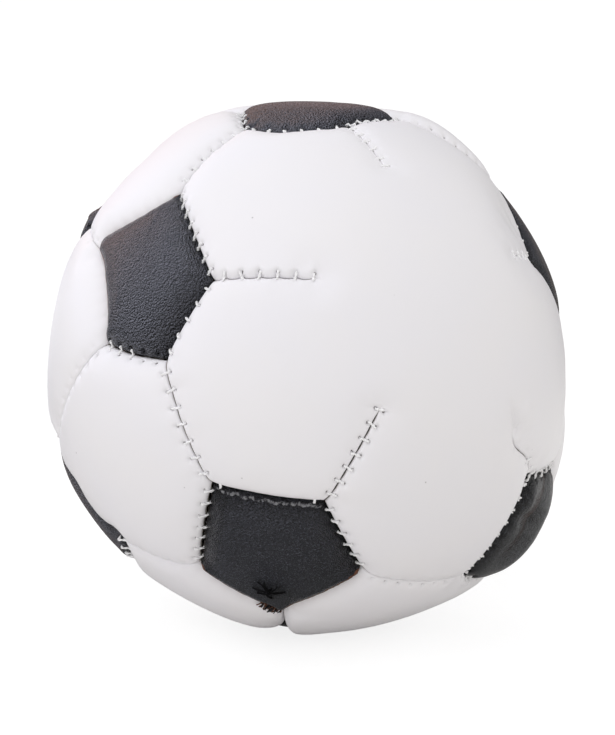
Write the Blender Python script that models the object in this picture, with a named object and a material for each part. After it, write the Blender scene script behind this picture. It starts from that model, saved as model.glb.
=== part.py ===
"""A hand-stitched footbag about 52 mm across: a panelled cover sewn round loose pellets.

The cover is cut on the football pattern of twelve pentagons and twenty hexagons. Ten pentagons are
black patches and ten hexagons are white panels. Round the middle of the front, and again round the
middle of the back, the pentagon and its five hexagons are one five-lobed white panel, with a sewn
dart between each two lobes. White thread crosses every seam and dart in stitches, and a knot in
black thread closes the gap that the filling went in by.

Metres, +Z up, front towards -Y. The footbag stands on its bottom patch, which is pressed flat
there, and the origin is the middle of that flat.
"""

import itertools
import math
import random

import bmesh
import bpy
import numpy as np
from mathutils import Vector

MM = 0.001

# The ball: its size, and where the football pattern sits on it
BALL_RADIUS = 25.9 * MM  # to the middle of a panel, before the lumps
REST_FLAT_DEPTH = 0.5 * MM  # how far the bottom patch is pressed in where it stands
PATTERN_TURN = math.radians(29)  # azimuth of the front middle, from -Y towards +X
PATCH_LATITUDE = math.atan(1 / 2)  # of the two rings of five patches, in this pattern
PATCH_CORNER_ANGLE = math.radians(18.6)  # from a patch's middle to its corners, seen from the ball's
DART_TIP_ANGLE = math.radians(28)  # from the front or back middle to the dart tips
HIDDEN_WANDER_DEGREES = 1.5  # most that a corner on the far side strays
WANDER_SEED = 5

# The cover
COVER_THICKNESS = 1.0 * MM
SEAM_GAP = 0.3 * MM  # between the two edges of a seam
SEAM_DEPTH = 0.85 * MM  # how far the stitching draws an edge in
SEAM_REACH = 4.2 * MM  # how far from the seam a panel is back at its full height
EDGE_ROLL_SHARE = 0.45  # of the depth, in the tight roll beside the seam
EDGE_ROLL_REACH_SHARE = 0.3  # of the reach, that the tight roll takes
DART_TIP_DEPTH_SHARE = 0.3  # of the depth, left at a dart's tip
SEAM_BLEND = 4  # power that blends the dips of seams that meet; higher is a sharper corner

# The thread
THREAD_RADIUS = 0.15 * MM
THREAD_CLEARANCE = 0.12 * MM  # between the thread and the panels under it
STITCH_PITCH = 1.55 * MM  # along the seam
STITCH_SPAN = 1.2 * MM  # across the seam
SEAM_END_MARGIN = 1.3 * MM  # from a corner to the first stitch of a seam between two panels
PATCH_END_MARGIN = 0.9 * MM  # from a corner to the first stitch of a patch's own sides

# The filling
FILLING_CLEARANCE = 0.3 * MM  # between the pellets and the seams inside

# The closing knot, beside the lowest corner of the low front patch
KNOT_SIZE = 1.5 * MM
KNOT_THREAD_RADIUS = 0.2 * MM
KNOT_PLACE_SHARE = 0.55  # of the way from the patch's middle to that corner

# Mesh steps
SIDE_STEPS = 4  # along each side of a panel
OUTER_RING_SHARES = (0.93, 0.82, 0.6, 0.32)  # of the way from a panel's middle to its edge
INNER_RING_SHARES = (0.6,)
FILLING_SUBDIVISIONS = 3
WELD_DISTANCE = 0.001 * MM

# Patch middles in order: the top, the upper ring, the lower ring, the bottom
PLACES = (
    "top",
    "front",
    "right",
    "rear_right",
    "rear_left",
    "left",
    "low_right",
    "low_rear_right",
    "back",
    "low_left",
    "low_front",
    "bottom",
)
WHITE_MIDDLES = ("front", "back")

# How far each corner that shows strays from the even pattern, in degrees seen from the ball's
# middle. The corner of the first patch towards the second moves by (towards it, to its left).
CORNER_WANDER_DEGREES = {
    ("left", "top"): (6, 4.5),
    ("left", "front"): (-1.5, 1),
    ("left", "low_front"): (-2.5, 1),
    ("left", "low_left"): (-4.5, 1),
    ("left", "rear_left"): (4, -1),
    ("low_front", "left"): (1.5, 3),
    ("low_front", "front"): (-3.5, -1),
    ("low_front", "low_right"): (0, -3),
    ("low_front", "bottom"): (8, -2),
    ("low_front", "low_left"): (2.5, 3.5),
    ("top", "left"): (-2.5, -4.5),
    ("top", "front"): (-5.5, 1.5),
    ("top", "rear_left"): (-0.5, -2.5),
    ("top", "right"): (2, 4),
    ("right", "front"): (-0.5, 2.5),
    ("right", "top"): (-1, 0.5),
    ("right", "low_right"): (4.5, -0.5),
    ("low_right", "right"): (-5.5, -5),
    ("low_right", "front"): (-6.5, 0),
    ("low_right", "low_front"): (-2, 9),
    ("low_right", "bottom"): (-1, 4.5),
    ("low_left", "left"): (-7, 5),
    ("low_left", "low_front"): (1.5, -1),
    ("low_left", "bottom"): (0, 5),
    ("rear_left", "left"): (2, 1.5),
    ("front", "left"): (-4, -1),
    ("front", "top"): (3, -1),
    ("front", "low_front"): (-3.5, -0.5),
    ("front", "right"): (-1, 0.5),
    ("front", "low_right"): (5.5, -1),
    ("bottom", "low_front"): (1.5, 3.5),
}

# Lumps and hollows of the packed filling: azimuth and elevation in degrees, height as a share of
# the ball's radius, and width in degrees.
LUMP_SHARES = (
    (85, 3, -0.044, 17),
    (82, 32, -0.052, 14),
    (102, 28, -0.01, 9),
    (117, 61, 0.035, 12),
    (-122, 64, 0.035, 14),
    (-103, 41, -0.02, 9),
    (-91, 6, -0.02, 18),
    (-85, -21, 0.025, 11),
    (-75, -46, -0.01, 14),
    (76, -42, 0.06, 14),
    (82, -28, 0.02, 12),
)

# The black knot's thread, in shares of the knot's size: across, up the patch, out of it
KNOT_ROUTE_SHARES = (
    (-0.85, 0.75, 0.0),
    (-0.4, 0.35, 0.05),
    (0.1, 0.0, 0.1),
    (0.35, -0.3, 0.15),
    (0.05, -0.45, 0.35),
    (-0.25, -0.15, 0.45),
    (0.0, 0.2, 0.5),
    (0.35, 0.3, 0.3),
    (0.75, 0.25, 0.05),
    (1.1, 0.55, 0.0),
)


def clear_scene():
    """Take everything out of the scene."""
    for old in list(bpy.data.objects):
        bpy.data.objects.remove(old, do_unlink=True)


def unit(azimuth, elevation):
    """Direction from the ball's middle: azimuth 0 faces -Y and grows towards +X."""
    return np.array(
        (
            math.sin(azimuth) * math.cos(elevation),
            -math.cos(azimuth) * math.cos(elevation),
            math.sin(elevation),
        )
    )


def normalised(vectors):
    """The same vectors at length 1."""
    return vectors / np.linalg.norm(vectors, axis=-1, keepdims=True)


# The pattern on the ball


def patch_middles():
    """Direction of each of the twelve pentagons' middles, by place."""
    step = math.tau / 5
    middles = [unit(0, math.pi / 2)]
    for ring, half_step in ((1, 0), (-1, 0.5)):
        for turn in range(5):
            azimuth = PATTERN_TURN + (turn + half_step) * step
            middles.append(unit(azimuth, ring * PATCH_LATITUDE))
    middles.append(unit(0, -math.pi / 2))
    return dict(zip(PLACES, middles))


MIDDLES = patch_middles()


def neighbours(place):
    """The five places next to this one, anticlockwise seen from outside."""
    middle = MIDDLES[place]
    across = normalised(np.cross(middle, unit(PATTERN_TURN / 2, PATCH_LATITUDE / 2)))
    ahead = np.cross(middle, across)
    close = [other for other in PLACES if 0 < MIDDLES[other] @ middle < math.cos(PATCH_LATITUDE)]
    return sorted(close, key=lambda o: math.atan2(MIDDLES[o] @ ahead, MIDDLES[o] @ across))


def corner_points():
    """Direction of every corner, by (its own patch, the patch it points to)."""
    chance = random.Random(WANDER_SEED)
    corners = {}
    for place in PLACES:
        middle = MIDDLES[place]
        angle = DART_TIP_ANGLE if place in WHITE_MIDDLES else PATCH_CORNER_ANGLE
        for other in neighbours(place):
            hidden = [chance.uniform(-1, 1) * HIDDEN_WANDER_DEGREES for _ in range(2)]
            wander = CORNER_WANDER_DEGREES.get((place, other), hidden)
            ahead = normalised(MIDDLES[other] - middle * (middle @ MIDDLES[other]))
            even = middle * math.cos(angle) + ahead * math.sin(angle)
            onward = ahead * math.cos(angle) - middle * math.sin(angle)
            leftward = np.cross(even, onward)
            strayed = even + onward * math.radians(wander[0]) + leftward * math.radians(wander[1])
            corners[place, other] = normalised(strayed)
    return corners


CORNERS = corner_points()


def hexagon_triples():
    """The three patches round each of the twenty hexagons, anticlockwise seen from outside."""
    triples = []
    for first in PLACES:
        ring = neighbours(first)
        for second, third in zip(ring, ring[1:] + ring[:1]):
            if PLACES.index(first) < min(PLACES.index(second), PLACES.index(third)):
                triples.append((first, second, third))
    return triples


def white_middle_of(places):
    """The front or back middle among these places, or None."""
    found = [place for place in places if place in WHITE_MIDDLES]
    return found[0] if found else None


def adjoining_pairs():
    """Each pair of neighbouring places once."""
    pairs = itertools.combinations(PLACES, 2)
    return [(a, b) for a, b in pairs if b in neighbours(a)]


def seam_lines():
    """Every seam and dart as (start, end, depth share at the end)."""
    lines = []
    for place in PLACES:
        if place in WHITE_MIDDLES:
            continue
        ring = neighbours(place)
        for one, two in zip(ring, ring[1:] + ring[:1]):
            lines.append((CORNERS[place, one], CORNERS[place, two], 1))
    for one, two in adjoining_pairs():
        middle = white_middle_of((one, two))
        if middle is None:
            lines.append((CORNERS[one, two], CORNERS[two, one], 1))
        else:
            outer = two if middle == one else one
            lines.append((CORNERS[outer, middle], CORNERS[middle, outer], DART_TIP_DEPTH_SHARE))
    return lines


SEAM_LINES = seam_lines()


# The surface


def lumpy_radius(directions):
    """Radius of the packed ball in these directions, before the seams draw it in."""
    radius = np.full(len(directions), BALL_RADIUS)
    for azimuth, elevation, share, width in LUMP_SHARES:
        peak = unit(math.radians(azimuth), math.radians(elevation))
        away = np.degrees(np.arccos(np.clip(directions @ peak, -1, 1)))
        radius += share * BALL_RADIUS * np.exp(-((away / width) ** 2))
    return radius


def distance_to_line(directions, start, end):
    """Distance on the ball from each direction to the line, and how far along it, 0 to 1."""
    normal = normalised(np.cross(start, end))
    onward = np.cross(normal, start)
    length = math.acos(np.clip(start @ end, -1, 1))
    along = np.arctan2(directions @ onward, directions @ start) / length
    along = np.clip(along, 0, 1)
    angles = along[:, None] * length
    nearest = start * np.cos(angles) + onward * np.sin(angles)
    away = np.arccos(np.clip(np.sum(nearest * directions, axis=1), -1, 1))
    return away * BALL_RADIUS, along


def seam_dip(directions):
    """How far the seams draw the cover in at these directions."""
    total = np.zeros(len(directions))
    for start, end, end_share in SEAM_LINES:
        away, along = distance_to_line(directions, start, end)
        reach = np.clip(away / SEAM_REACH, 0, 1)
        roll = np.clip(reach / EDGE_ROLL_REACH_SHARE, 0, 1)
        fall = (1 - EDGE_ROLL_SHARE) * (1 - reach) ** 2 + EDGE_ROLL_SHARE * (1 - roll) ** 2
        depth = SEAM_DEPTH * (1 + (end_share - 1) * along)
        total += (depth * fall) ** SEAM_BLEND
    return total ** (1 / SEAM_BLEND)


def cover_radius(directions):
    """Radius of the cover's outside in these directions."""
    return lumpy_radius(directions) - seam_dip(directions)


def ball_height():
    """Height of the ball's middle, which puts the flat of the bottom patch at zero."""
    return float(cover_radius(MIDDLES["bottom"][None, :])[0]) - REST_FLAT_DEPTH


BALL_MIDDLE = np.array((0, 0, ball_height()))


def on_cover(directions, sink=0.0):
    """Points on the cover's outside, or sunk below it, pressed flat where the footbag stands."""
    radius = cover_radius(directions) - sink
    points = directions * radius[:, None] + BALL_MIDDLE
    points[:, 2] = np.maximum(points[:, 2], sink)
    return points


# The panels


def inset_corner(corner, before, after, gap_before, gap_after):
    """A panel's corner, moved in from the pattern's by a gap from each of its two sides."""
    into_before = normalised(np.cross(before, corner))
    into_after = normalised(np.cross(corner, after))
    sides = np.array((into_before, into_after, corner))
    gaps = np.array((gap_before, gap_after, 0)) / BALL_RADIUS
    return normalised(corner + np.linalg.solve(sides, gaps))


class Cell:
    """One pentagon or hexagon of a panel: its corners and which of its sides are cut edges."""

    def __init__(self, corners, edged, tips=()):
        """Corners go anticlockwise, edged[i] is the side after corner i, tips end a dart."""
        self.corners = corners
        self.edged = edged
        self.tips = tips

    def side_points(self):
        """Directions round the cell's border, SIDE_STEPS to a side."""
        count = len(self.corners)
        moved = []
        for i, corner in enumerate(self.corners):
            gaps = [SEAM_GAP / 2 * self.edged[k] * (i not in self.tips) for k in (i - 1, i)]
            after = self.corners[(i + 1) % count]
            moved.append(inset_corner(corner, self.corners[i - 1], after, *gaps))
        border = []
        for i, corner in enumerate(moved):
            after = moved[(i + 1) % count]
            for step in range(SIDE_STEPS):
                border.append(corner + (after - corner) * step / SIDE_STEPS)
        return normalised(np.array(border))

    def add_face_grid(self, mesh, ring_shares, sink, outward):
        """Add one face of the cell and return the vertices of its border."""
        border = self.side_points()
        middle = normalised(np.mean(border, axis=0))
        directions = [border]
        directions += [normalised(middle + (border - middle) * share) for share in ring_shares]
        rings = [
            [mesh.verts.new(Vector(point)) for point in on_cover(ring, sink)]
            for ring in directions
        ]
        hub = mesh.verts.new(Vector(on_cover(middle[None, :], sink)[0]))
        for outer, inner in zip(rings, rings[1:]):
            for i, vertex in enumerate(outer):
                quad = (outer[i - 1], vertex, inner[i], inner[i - 1])
                mesh.faces.new(quad if outward else quad[::-1])
        for i, vertex in enumerate(rings[-1]):
            triangle = (rings[-1][i - 1], vertex, hub)
            mesh.faces.new(triangle if outward else triangle[::-1])
        return rings[0]

    def add_to(self, mesh):
        """Add the cell's outside, its inside, and a wall along each cut edge."""
        outer = self.add_face_grid(mesh, OUTER_RING_SHARES, 0.0, True)
        inner = self.add_face_grid(mesh, INNER_RING_SHARES, COVER_THICKNESS, False)
        count = len(outer)
        for i in range(count):
            if self.edged[i // SIDE_STEPS]:
                after = (i + 1) % count
                mesh.faces.new((outer[after], outer[i], inner[i], inner[after]))


def patch_cell(place):
    """The cell of a black patch."""
    corners = [CORNERS[place, other] for other in neighbours(place)]
    return Cell(corners, [True] * len(corners))


def hexagon_cell(triple):
    """The cell of a white hexagon, which may be a lobe of the front or back panel."""
    corners, edged, tips = [], [], []
    for i, place in enumerate(triple):
        before, after = triple[i - 1], triple[(i + 1) % 3]
        if place in WHITE_MIDDLES:
            tips += [len(corners), len(corners) + 1]
        corners += [CORNERS[place, before], CORNERS[place, after]]
        edged += [place not in WHITE_MIDDLES, True]
    return Cell(corners, edged, tips)


def lobed_cells(middle):
    """The cells of the front or back panel: its middle pentagon and five lobes."""
    corners = [CORNERS[middle, other] for other in neighbours(middle)]
    cells = [Cell(corners, [False] * len(corners))]
    return cells + [hexagon_cell(t) for t in hexagon_triples() if middle in t]


def add_mesh_object(name, mesh, material):
    """Turn a bmesh into an object in the scene, shaded smooth between its cut edges."""
    bmesh.ops.remove_doubles(mesh, verts=mesh.verts, dist=WELD_DISTANCE)
    data = bpy.data.meshes.new(name)
    mesh.to_mesh(data)
    mesh.free()
    data.shade_smooth()
    data.set_sharp_from_angle(angle=math.radians(50))
    made = bpy.data.objects.new(name, data)
    bpy.context.scene.collection.objects.link(made)
    data.materials.append(material)
    return made


def make_panel(name, cells, material):
    """One piece of the cover."""
    mesh = bmesh.new()
    for cell in cells:
        cell.add_to(mesh)
    return add_mesh_object(name, mesh, material)


# The thread


def line_point(start, end, along, aside):
    """Direction at a distance along a seam and a distance to its left, both on the ball."""
    normal = normalised(np.cross(start, end))
    onward = np.cross(normal, start)
    angle = along / BALL_RADIUS
    on_line = start * math.cos(angle) + onward * math.sin(angle)
    return normalised(on_line + normal * aside / BALL_RADIUS)


def stitch_points(start, end, start_margin, end_margin, even=False):
    """Directions of the thread where it crosses from side to side of a seam."""
    length = BALL_RADIUS * math.acos(np.clip(start @ end, -1, 1))
    room = length - start_margin - end_margin
    count = max(2, round(room / STITCH_PITCH))
    if even:
        count += count % 2
    points = []
    for i in range(count + 1):
        side = 1 if i % 2 == 0 else -1
        along = start_margin + room * i / count
        points.append(line_point(start, end, along, side * STITCH_SPAN / 2))
    return points


def make_thread(name, directions, radius, material):
    """A thread laid on the cover through these directions."""
    lift = radius + THREAD_CLEARANCE
    places = on_cover(np.array(directions), -lift)
    return make_cord(name, places, radius, material)


def make_cord(name, places, radius, material):
    """A closed tube with four sides through these points."""
    curve = bpy.data.curves.new(name, "CURVE")
    curve.dimensions = "3D"
    curve.bevel_depth = radius
    curve.bevel_resolution = 0
    curve.use_fill_caps = True
    spline = curve.splines.new("POLY")
    spline.points.add(len(places) - 1)
    for point, place in zip(spline.points, places):
        point.co = (*place, 1)
    made = bpy.data.objects.new(name, curve)
    bpy.context.scene.collection.objects.link(made)
    curve.materials.append(material)
    return made


def patch_thread_route(place):
    """Along the dart that ends at this patch, then round the patch's sides."""
    ring = neighbours(place)
    first = next(i for i, other in enumerate(ring) if other in WHITE_MIDDLES)
    ring = ring[first:] + ring[:first]
    tip = CORNERS[ring[0], place]
    route = stitch_points(tip, CORNERS[place, ring[0]], PATCH_END_MARGIN / 2, SEAM_END_MARGIN)
    for one, two in zip(ring, ring[1:] + ring[:1]):
        corners = CORNERS[place, one], CORNERS[place, two]
        route += stitch_points(*corners, PATCH_END_MARGIN, PATCH_END_MARGIN, even=True)
    return route


def make_threads(material):
    """One thread for each patch and its dart, and one for each seam between two hexagons."""
    for place in PLACES:
        if place not in WHITE_MIDDLES:
            route = patch_thread_route(place)
            make_thread(f"{place}_patch_thread", route, THREAD_RADIUS, material)
    joins = [pair for pair in adjoining_pairs() if white_middle_of(pair) is None]
    for number, (one, two) in enumerate(joins, 1):
        ends = CORNERS[one, two], CORNERS[two, one]
        route = stitch_points(*ends, SEAM_END_MARGIN, SEAM_END_MARGIN)
        make_thread(f"panel_seam_thread_{number:02d}", route, THREAD_RADIUS, material)


def make_knot(material):
    """The closing knot in black thread, lying on the low front patch."""
    middle = MIDDLES["low_front"]
    corner = CORNERS["low_front", "bottom"]
    place = normalised(middle + (corner - middle) * KNOT_PLACE_SHARE)
    up = normalised(middle - place * (place @ middle))
    across = np.cross(up, place)
    lift = KNOT_THREAD_RADIUS + THREAD_CLEARANCE
    points = []
    for share_across, share_up, share_out in KNOT_ROUTE_SHARES:
        aside = (across * share_across + up * share_up) * KNOT_SIZE / BALL_RADIUS
        direction = normalised(place + aside)
        out = lift + share_out * KNOT_SIZE
        points.append(on_cover(direction[None, :], -out)[0])
    make_cord("closing_knot", points, KNOT_THREAD_RADIUS, material)


# The filling


def make_filling(material):
    """The pellets as one packed body, clear of the seams and of the flat it stands on."""
    mesh = bmesh.new()
    bmesh.ops.create_icosphere(mesh, subdivisions=FILLING_SUBDIVISIONS, radius=1)
    deepest_dip = SEAM_DEPTH * 3 ** (1 / SEAM_BLEND)
    under_cover = deepest_dip + COVER_THICKNESS + FILLING_CLEARANCE
    lowest = COVER_THICKNESS + FILLING_CLEARANCE
    for vertex in mesh.verts:
        direction = normalised(np.array(vertex.co))
        radius = lumpy_radius(direction[None, :])[0] - under_cover
        place = direction * radius + BALL_MIDDLE
        place[2] = max(place[2], lowest)
        vertex.co = Vector(place)
    return add_mesh_object("pellet_filling", mesh, material)


# The finishes


def make_material(name, colour, roughness, metallic=0.0):
    """A plain finish."""
    material = bpy.data.materials.new(name)
    material.use_nodes = True
    shader = material.node_tree.nodes["Principled BSDF"]
    shader.inputs["Base Color"].default_value = (*colour, 1)
    shader.inputs["Roughness"].default_value = roughness
    shader.inputs["Metallic"].default_value = metallic
    return material


def make_cover(white, black):
    """The lobed panels, the white panels of the belt and the black patches."""
    for middle in WHITE_MIDDLES:
        make_panel(f"{middle}_lobed_panel", lobed_cells(middle), white)
    belt = [triple for triple in hexagon_triples() if white_middle_of(triple) is None]
    for number, triple in enumerate(belt, 1):
        make_panel(f"belt_panel_{number:02d}", [hexagon_cell(triple)], white)
    for place in PLACES:
        if place not in WHITE_MIDDLES:
            make_panel(f"{place}_black_patch", [patch_cell(place)], black)


def main():
    """Build the footbag."""
    clear_scene()
    white = make_material("white vinyl", (0.86, 0.85, 0.86), 0.38)
    black = make_material("black grained vinyl", (0.022, 0.023, 0.026), 0.5)
    thread = make_material("white thread", (0.82, 0.8, 0.78), 0.8)
    black_thread = make_material("black thread", (0.015, 0.015, 0.016), 0.8)
    pellets = make_material("plastic pellets", (0.7, 0.68, 0.62), 0.45)
    make_cover(white, black)
    make_threads(thread)
    make_knot(black_thread)
    make_filling(pellets)


main()
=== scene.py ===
"""Looks of a hand-stitched footbag: leathercloth panels sewn round loose pellets with white thread.

The cover is cut on the football pattern. Each panel is a closed shell of its own, puffed by the
pellets, rolled in at its cut edges, drawn down at every stitch and pierced by the needle. The
thread is two plies laid over and under those edges, stitch by stitch.
"""

import itertools
import logging
import math
import random
from dataclasses import dataclass, field, replace
from enum import Enum, IntEnum
from functools import cached_property
from typing import Any, Iterable

import bmesh
import bpy
import numpy as np
from mathutils.kdtree import KDTree
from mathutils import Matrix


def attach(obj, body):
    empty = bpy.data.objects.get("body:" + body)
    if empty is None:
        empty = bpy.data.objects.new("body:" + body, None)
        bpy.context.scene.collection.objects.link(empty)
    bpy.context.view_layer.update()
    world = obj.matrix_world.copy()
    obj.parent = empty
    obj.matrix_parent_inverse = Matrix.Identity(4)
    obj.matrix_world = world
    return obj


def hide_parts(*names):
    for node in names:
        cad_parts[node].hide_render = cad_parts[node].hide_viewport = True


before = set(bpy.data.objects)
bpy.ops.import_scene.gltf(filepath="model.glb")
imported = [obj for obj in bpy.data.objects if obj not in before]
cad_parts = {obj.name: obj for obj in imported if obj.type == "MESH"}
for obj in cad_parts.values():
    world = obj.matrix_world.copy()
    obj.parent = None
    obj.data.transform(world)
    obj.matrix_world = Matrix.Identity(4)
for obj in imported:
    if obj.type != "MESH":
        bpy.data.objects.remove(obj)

log = logging.getLogger("footbag")
logging.basicConfig(level=logging.INFO, format="%(name)s: %(message)s")

MM = 0.001
UP = np.array((0.0, 0.0, 1.0))

Array = np.ndarray
Tree = bpy.types.NodeTree
Socket = bpy.types.NodeSocket
Colour = tuple[float, float, float, float]
CornerKey = tuple[str, str]
Span = tuple[float, float]
Faces = list[tuple[int, ...]]
Materials = list[bpy.types.Material]


# Small helpers


def linear(hex_colour: str) -> Colour:
    """Turn an sRGB hex colour into linear values.

    Args:
        hex_colour: six hex digits, with or without a leading mark.

    Returns:
        Red, green, blue and full opacity.
    """
    digits = hex_colour.lstrip("#")
    values = [int(digits[i : i + 2], 16) / 255 for i in (0, 2, 4)]
    red, green, blue = (v / 12.92 if v <= 0.04045 else ((v + 0.055) / 1.055) ** 2.4 for v in values)
    return red, green, blue, 1.0


def unit(azimuth: float, elevation: float) -> Array:
    """Direction from the ball's middle; azimuth 0 faces -Y and grows towards +X, in radians."""
    level = math.cos(elevation)
    return np.array((math.sin(azimuth) * level, -math.cos(azimuth) * level, math.sin(elevation)))


def aimed(azimuth_degrees: float, elevation_degrees: float) -> Array:
    """The same direction, from degrees."""
    return unit(math.radians(azimuth_degrees), math.radians(elevation_degrees))


def normalised(vectors: Array) -> Array:
    """The same vectors at length 1."""
    return vectors / np.linalg.norm(vectors, axis=-1, keepdims=True)


def smoothstep(share: Array) -> Array:
    """Ease from 0 to 1."""
    share = np.clip(share, 0, 1)
    return share * share * (3 - 2 * share)


def smooth_path(points: Array, steps: int) -> Array:
    """A smooth curve through points, with this many steps from each to the next."""
    padded = np.vstack((2 * points[0] - points[1], points, 2 * points[-1] - points[-2]))
    t = (np.arange(steps) / steps)[:, None]
    runs = []
    for a, b, c, d in zip(padded, padded[1:], padded[2:], padded[3:]):
        runs.append(
            0.5 * (2 * b + (c - a) * t + (2 * a - 5 * b + 4 * c - d) * t**2 + (3 * b - a - 3 * c + d) * t**3)
        )
    return np.vstack((*runs, points[-1:]))


def joined(parts: Iterable[tuple[Array, Faces]]) -> tuple[Array, Faces]:
    """Several meshes, each as points and faces, as one."""
    points, faces, start = [], [], 0
    for part_points, part_faces in parts:
        points.append(part_points)
        faces += [tuple(v + start for v in face) for face in part_faces]
        start += len(part_points)
    return np.concatenate(points), faces


def points_of(mesh: bpy.types.Mesh) -> Array:
    """The places of a mesh's points."""
    flat = np.empty(len(mesh.vertices) * 3)
    mesh.vertices.foreach_get("co", flat)
    return flat.reshape(-1, 3)


def placed(name: str, data: Any) -> bpy.types.Object:
    """A new object in the scene, for this mesh, lamp or camera."""
    made = bpy.data.objects.new(name, data)
    bpy.context.scene.collection.objects.link(made)
    return made


def new_piece(name: str, points: Array, faces: Faces, materials: Materials) -> bpy.types.Object:
    """A smooth-shaded mesh piece of these materials."""
    mesh = bpy.data.meshes.new(name)
    mesh.from_pydata(points.tolist(), [], faces)
    mesh.polygons.foreach_set("use_smooth", [True] * len(faces))
    for material in materials:
        mesh.materials.append(material)
    mesh.update()
    return placed(name, mesh)


def add_node(tree: Tree, kind: str, inputs: dict | None = None, **settings: Any) -> Any:
    """Add a node, set its properties, and fill or link its inputs.

    Args:
        tree: the node tree.
        kind: Blender's name for the node.
        inputs: value, or socket to link from, by input name or number.
        **settings: properties of the node.

    Returns:
        The node.
    """
    node = tree.nodes.new(kind)
    for name, value in settings.items():
        setattr(node, name, value)
    for name, value in (inputs or {}).items():
        if isinstance(value, Socket):
            tree.links.new(value, node.inputs[name])
        else:
            node.inputs[name].default_value = value
    return node


# The football pattern, in the same sizes and places as the solids


@dataclass(frozen=True)
class Pattern:
    """Where the twelve pentagons sit, and how far hand cutting and sewing moved their corners."""

    turn: float = math.radians(29)
    latitude: float = math.atan(1 / 2)
    patch_corner_angle: float = math.radians(18.6)
    dart_tip_angle: float = math.radians(28)
    hidden_wander_degrees: float = 1.5
    seed: int = 5
    places: tuple[str, ...] = (
        "top", "front", "right", "rear_right", "rear_left", "left",
        "low_right", "low_rear_right", "back", "low_left", "low_front", "bottom",
    )
    white_middles: tuple[str, str] = ("front", "back")
    # Degrees towards the second place, and to the left of the way there
    wander: tuple[tuple[str, str, float, float], ...] = (
        ("left", "top", 6, 4.5),
        ("left", "front", -1.5, 1),
        ("left", "low_front", -2.5, 1),
        ("left", "low_left", -4.5, 1),
        ("left", "rear_left", 4, -1),
        ("low_front", "left", 1.5, 3),
        ("low_front", "front", -3.5, -1),
        ("low_front", "low_right", 0, -3),
        ("low_front", "bottom", 4.8, -1.4),
        ("low_front", "low_left", 2.5, 3.5),
        ("top", "left", -2.5, -4.5),
        ("top", "front", -5.5, 1.5),
        ("top", "rear_left", -0.5, -2.5),
        ("top", "right", 2.5, 1),
        ("right", "front", -0.5, 2.5),
        ("right", "top", -1, 0.5),
        ("right", "low_right", 4.5, -0.5),
        ("low_right", "right", -5.5, -5),
        ("low_right", "front", -6.5, 0),
        ("low_right", "low_front", -3.2, 12.5),
        ("low_right", "bottom", 0.8, 6.9),
        ("low_left", "left", -7, 5),
        ("low_left", "low_front", 1.5, -1),
        ("low_left", "bottom", 0, 5),
        ("rear_left", "left", 2, 2.6),
        ("front", "left", -4, -1),
        ("front", "top", 3, -1),
        ("front", "low_front", -3.5, -0.5),
        ("front", "right", -1, 0.5),
        ("front", "low_right", 5.5, -1),
        ("bottom", "low_front", -2.5, 3.5),
    )

    @cached_property
    def middles(self) -> dict[str, Array]:
        """Direction of each pentagon's middle, by place."""
        step = math.tau / 5
        found = [unit(0, math.pi / 2)]
        for ring, half_step in ((1, 0), (-1, 0.5)):
            for turn in range(5):
                azimuth = self.turn + (turn + half_step) * step
                found.append(unit(azimuth, ring * self.latitude))
        found.append(unit(0, -math.pi / 2))
        return dict(zip(self.places, found))

    @cached_property
    def rings(self) -> dict[str, list[str]]:
        """The five places round each place, anticlockwise seen from outside."""
        rings = {}
        for place, middle in self.middles.items():
            across = normalised(np.cross(middle, unit(self.turn / 2, self.latitude / 2)))
            ahead = np.cross(middle, across)
            close = [o for o, m in self.middles.items() if 0 < m @ middle < math.cos(self.latitude)]
            angle = {o: math.atan2(self.middles[o] @ ahead, self.middles[o] @ across) for o in close}
            rings[place] = sorted(close, key=angle.get)
        return rings

    @cached_property
    def corners(self) -> dict[CornerKey, Array]:
        """Direction of every corner, by its own patch and the patch it points to."""
        strays = {(a, b): (ahead, left) for a, b, ahead, left in self.wander}
        chance = random.Random(self.seed)
        corners = {}
        for place, middle in self.middles.items():
            angle = self.dart_tip_angle if place in self.white_middles else self.patch_corner_angle
            for other in self.rings[place]:
                hidden = [chance.uniform(-1, 1) * self.hidden_wander_degrees for _ in range(2)]
                stray = strays.get((place, other), hidden)
                ahead = normalised(self.middles[other] - middle * (middle @ self.middles[other]))
                even = middle * math.cos(angle) + ahead * math.sin(angle)
                onward = ahead * math.cos(angle) - middle * math.sin(angle)
                leftward = np.cross(even, onward)
                moved = even + onward * math.radians(stray[0]) + leftward * math.radians(stray[1])
                corners[place, other] = normalised(moved)
        return corners

    @cached_property
    def patches(self) -> list[str]:
        """The ten places that hold a black patch."""
        return [place for place in self.places if place not in self.white_middles]

    @cached_property
    def triples(self) -> list[tuple[str, str, str]]:
        """The three places round each hexagon, anticlockwise seen from outside."""
        found = []
        order = self.places.index
        for first in self.places:
            ring = self.rings[first]
            for second, third in zip(ring, ring[1:] + ring[:1]):
                if order(first) < min(order(second), order(third)):
                    found.append((first, second, third))
        return found

    @cached_property
    def adjoining(self) -> list[tuple[str, str]]:
        """Each pair of neighbouring places once."""
        return [(a, b) for a, b in itertools.combinations(self.places, 2) if b in self.rings[a]]

    def white_middle_of(self, places: Iterable[str]) -> str | None:
        """The front or back middle among these places, or None."""
        return next((place for place in places if place in self.white_middles), None)


# Seams


class SeamKind(Enum):
    """What a seam joins."""

    PATCH = "a black patch on the left, a white panel on the right"
    PANEL = "two white panels"
    DART = "the two sides of a slit in one white panel"


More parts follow.
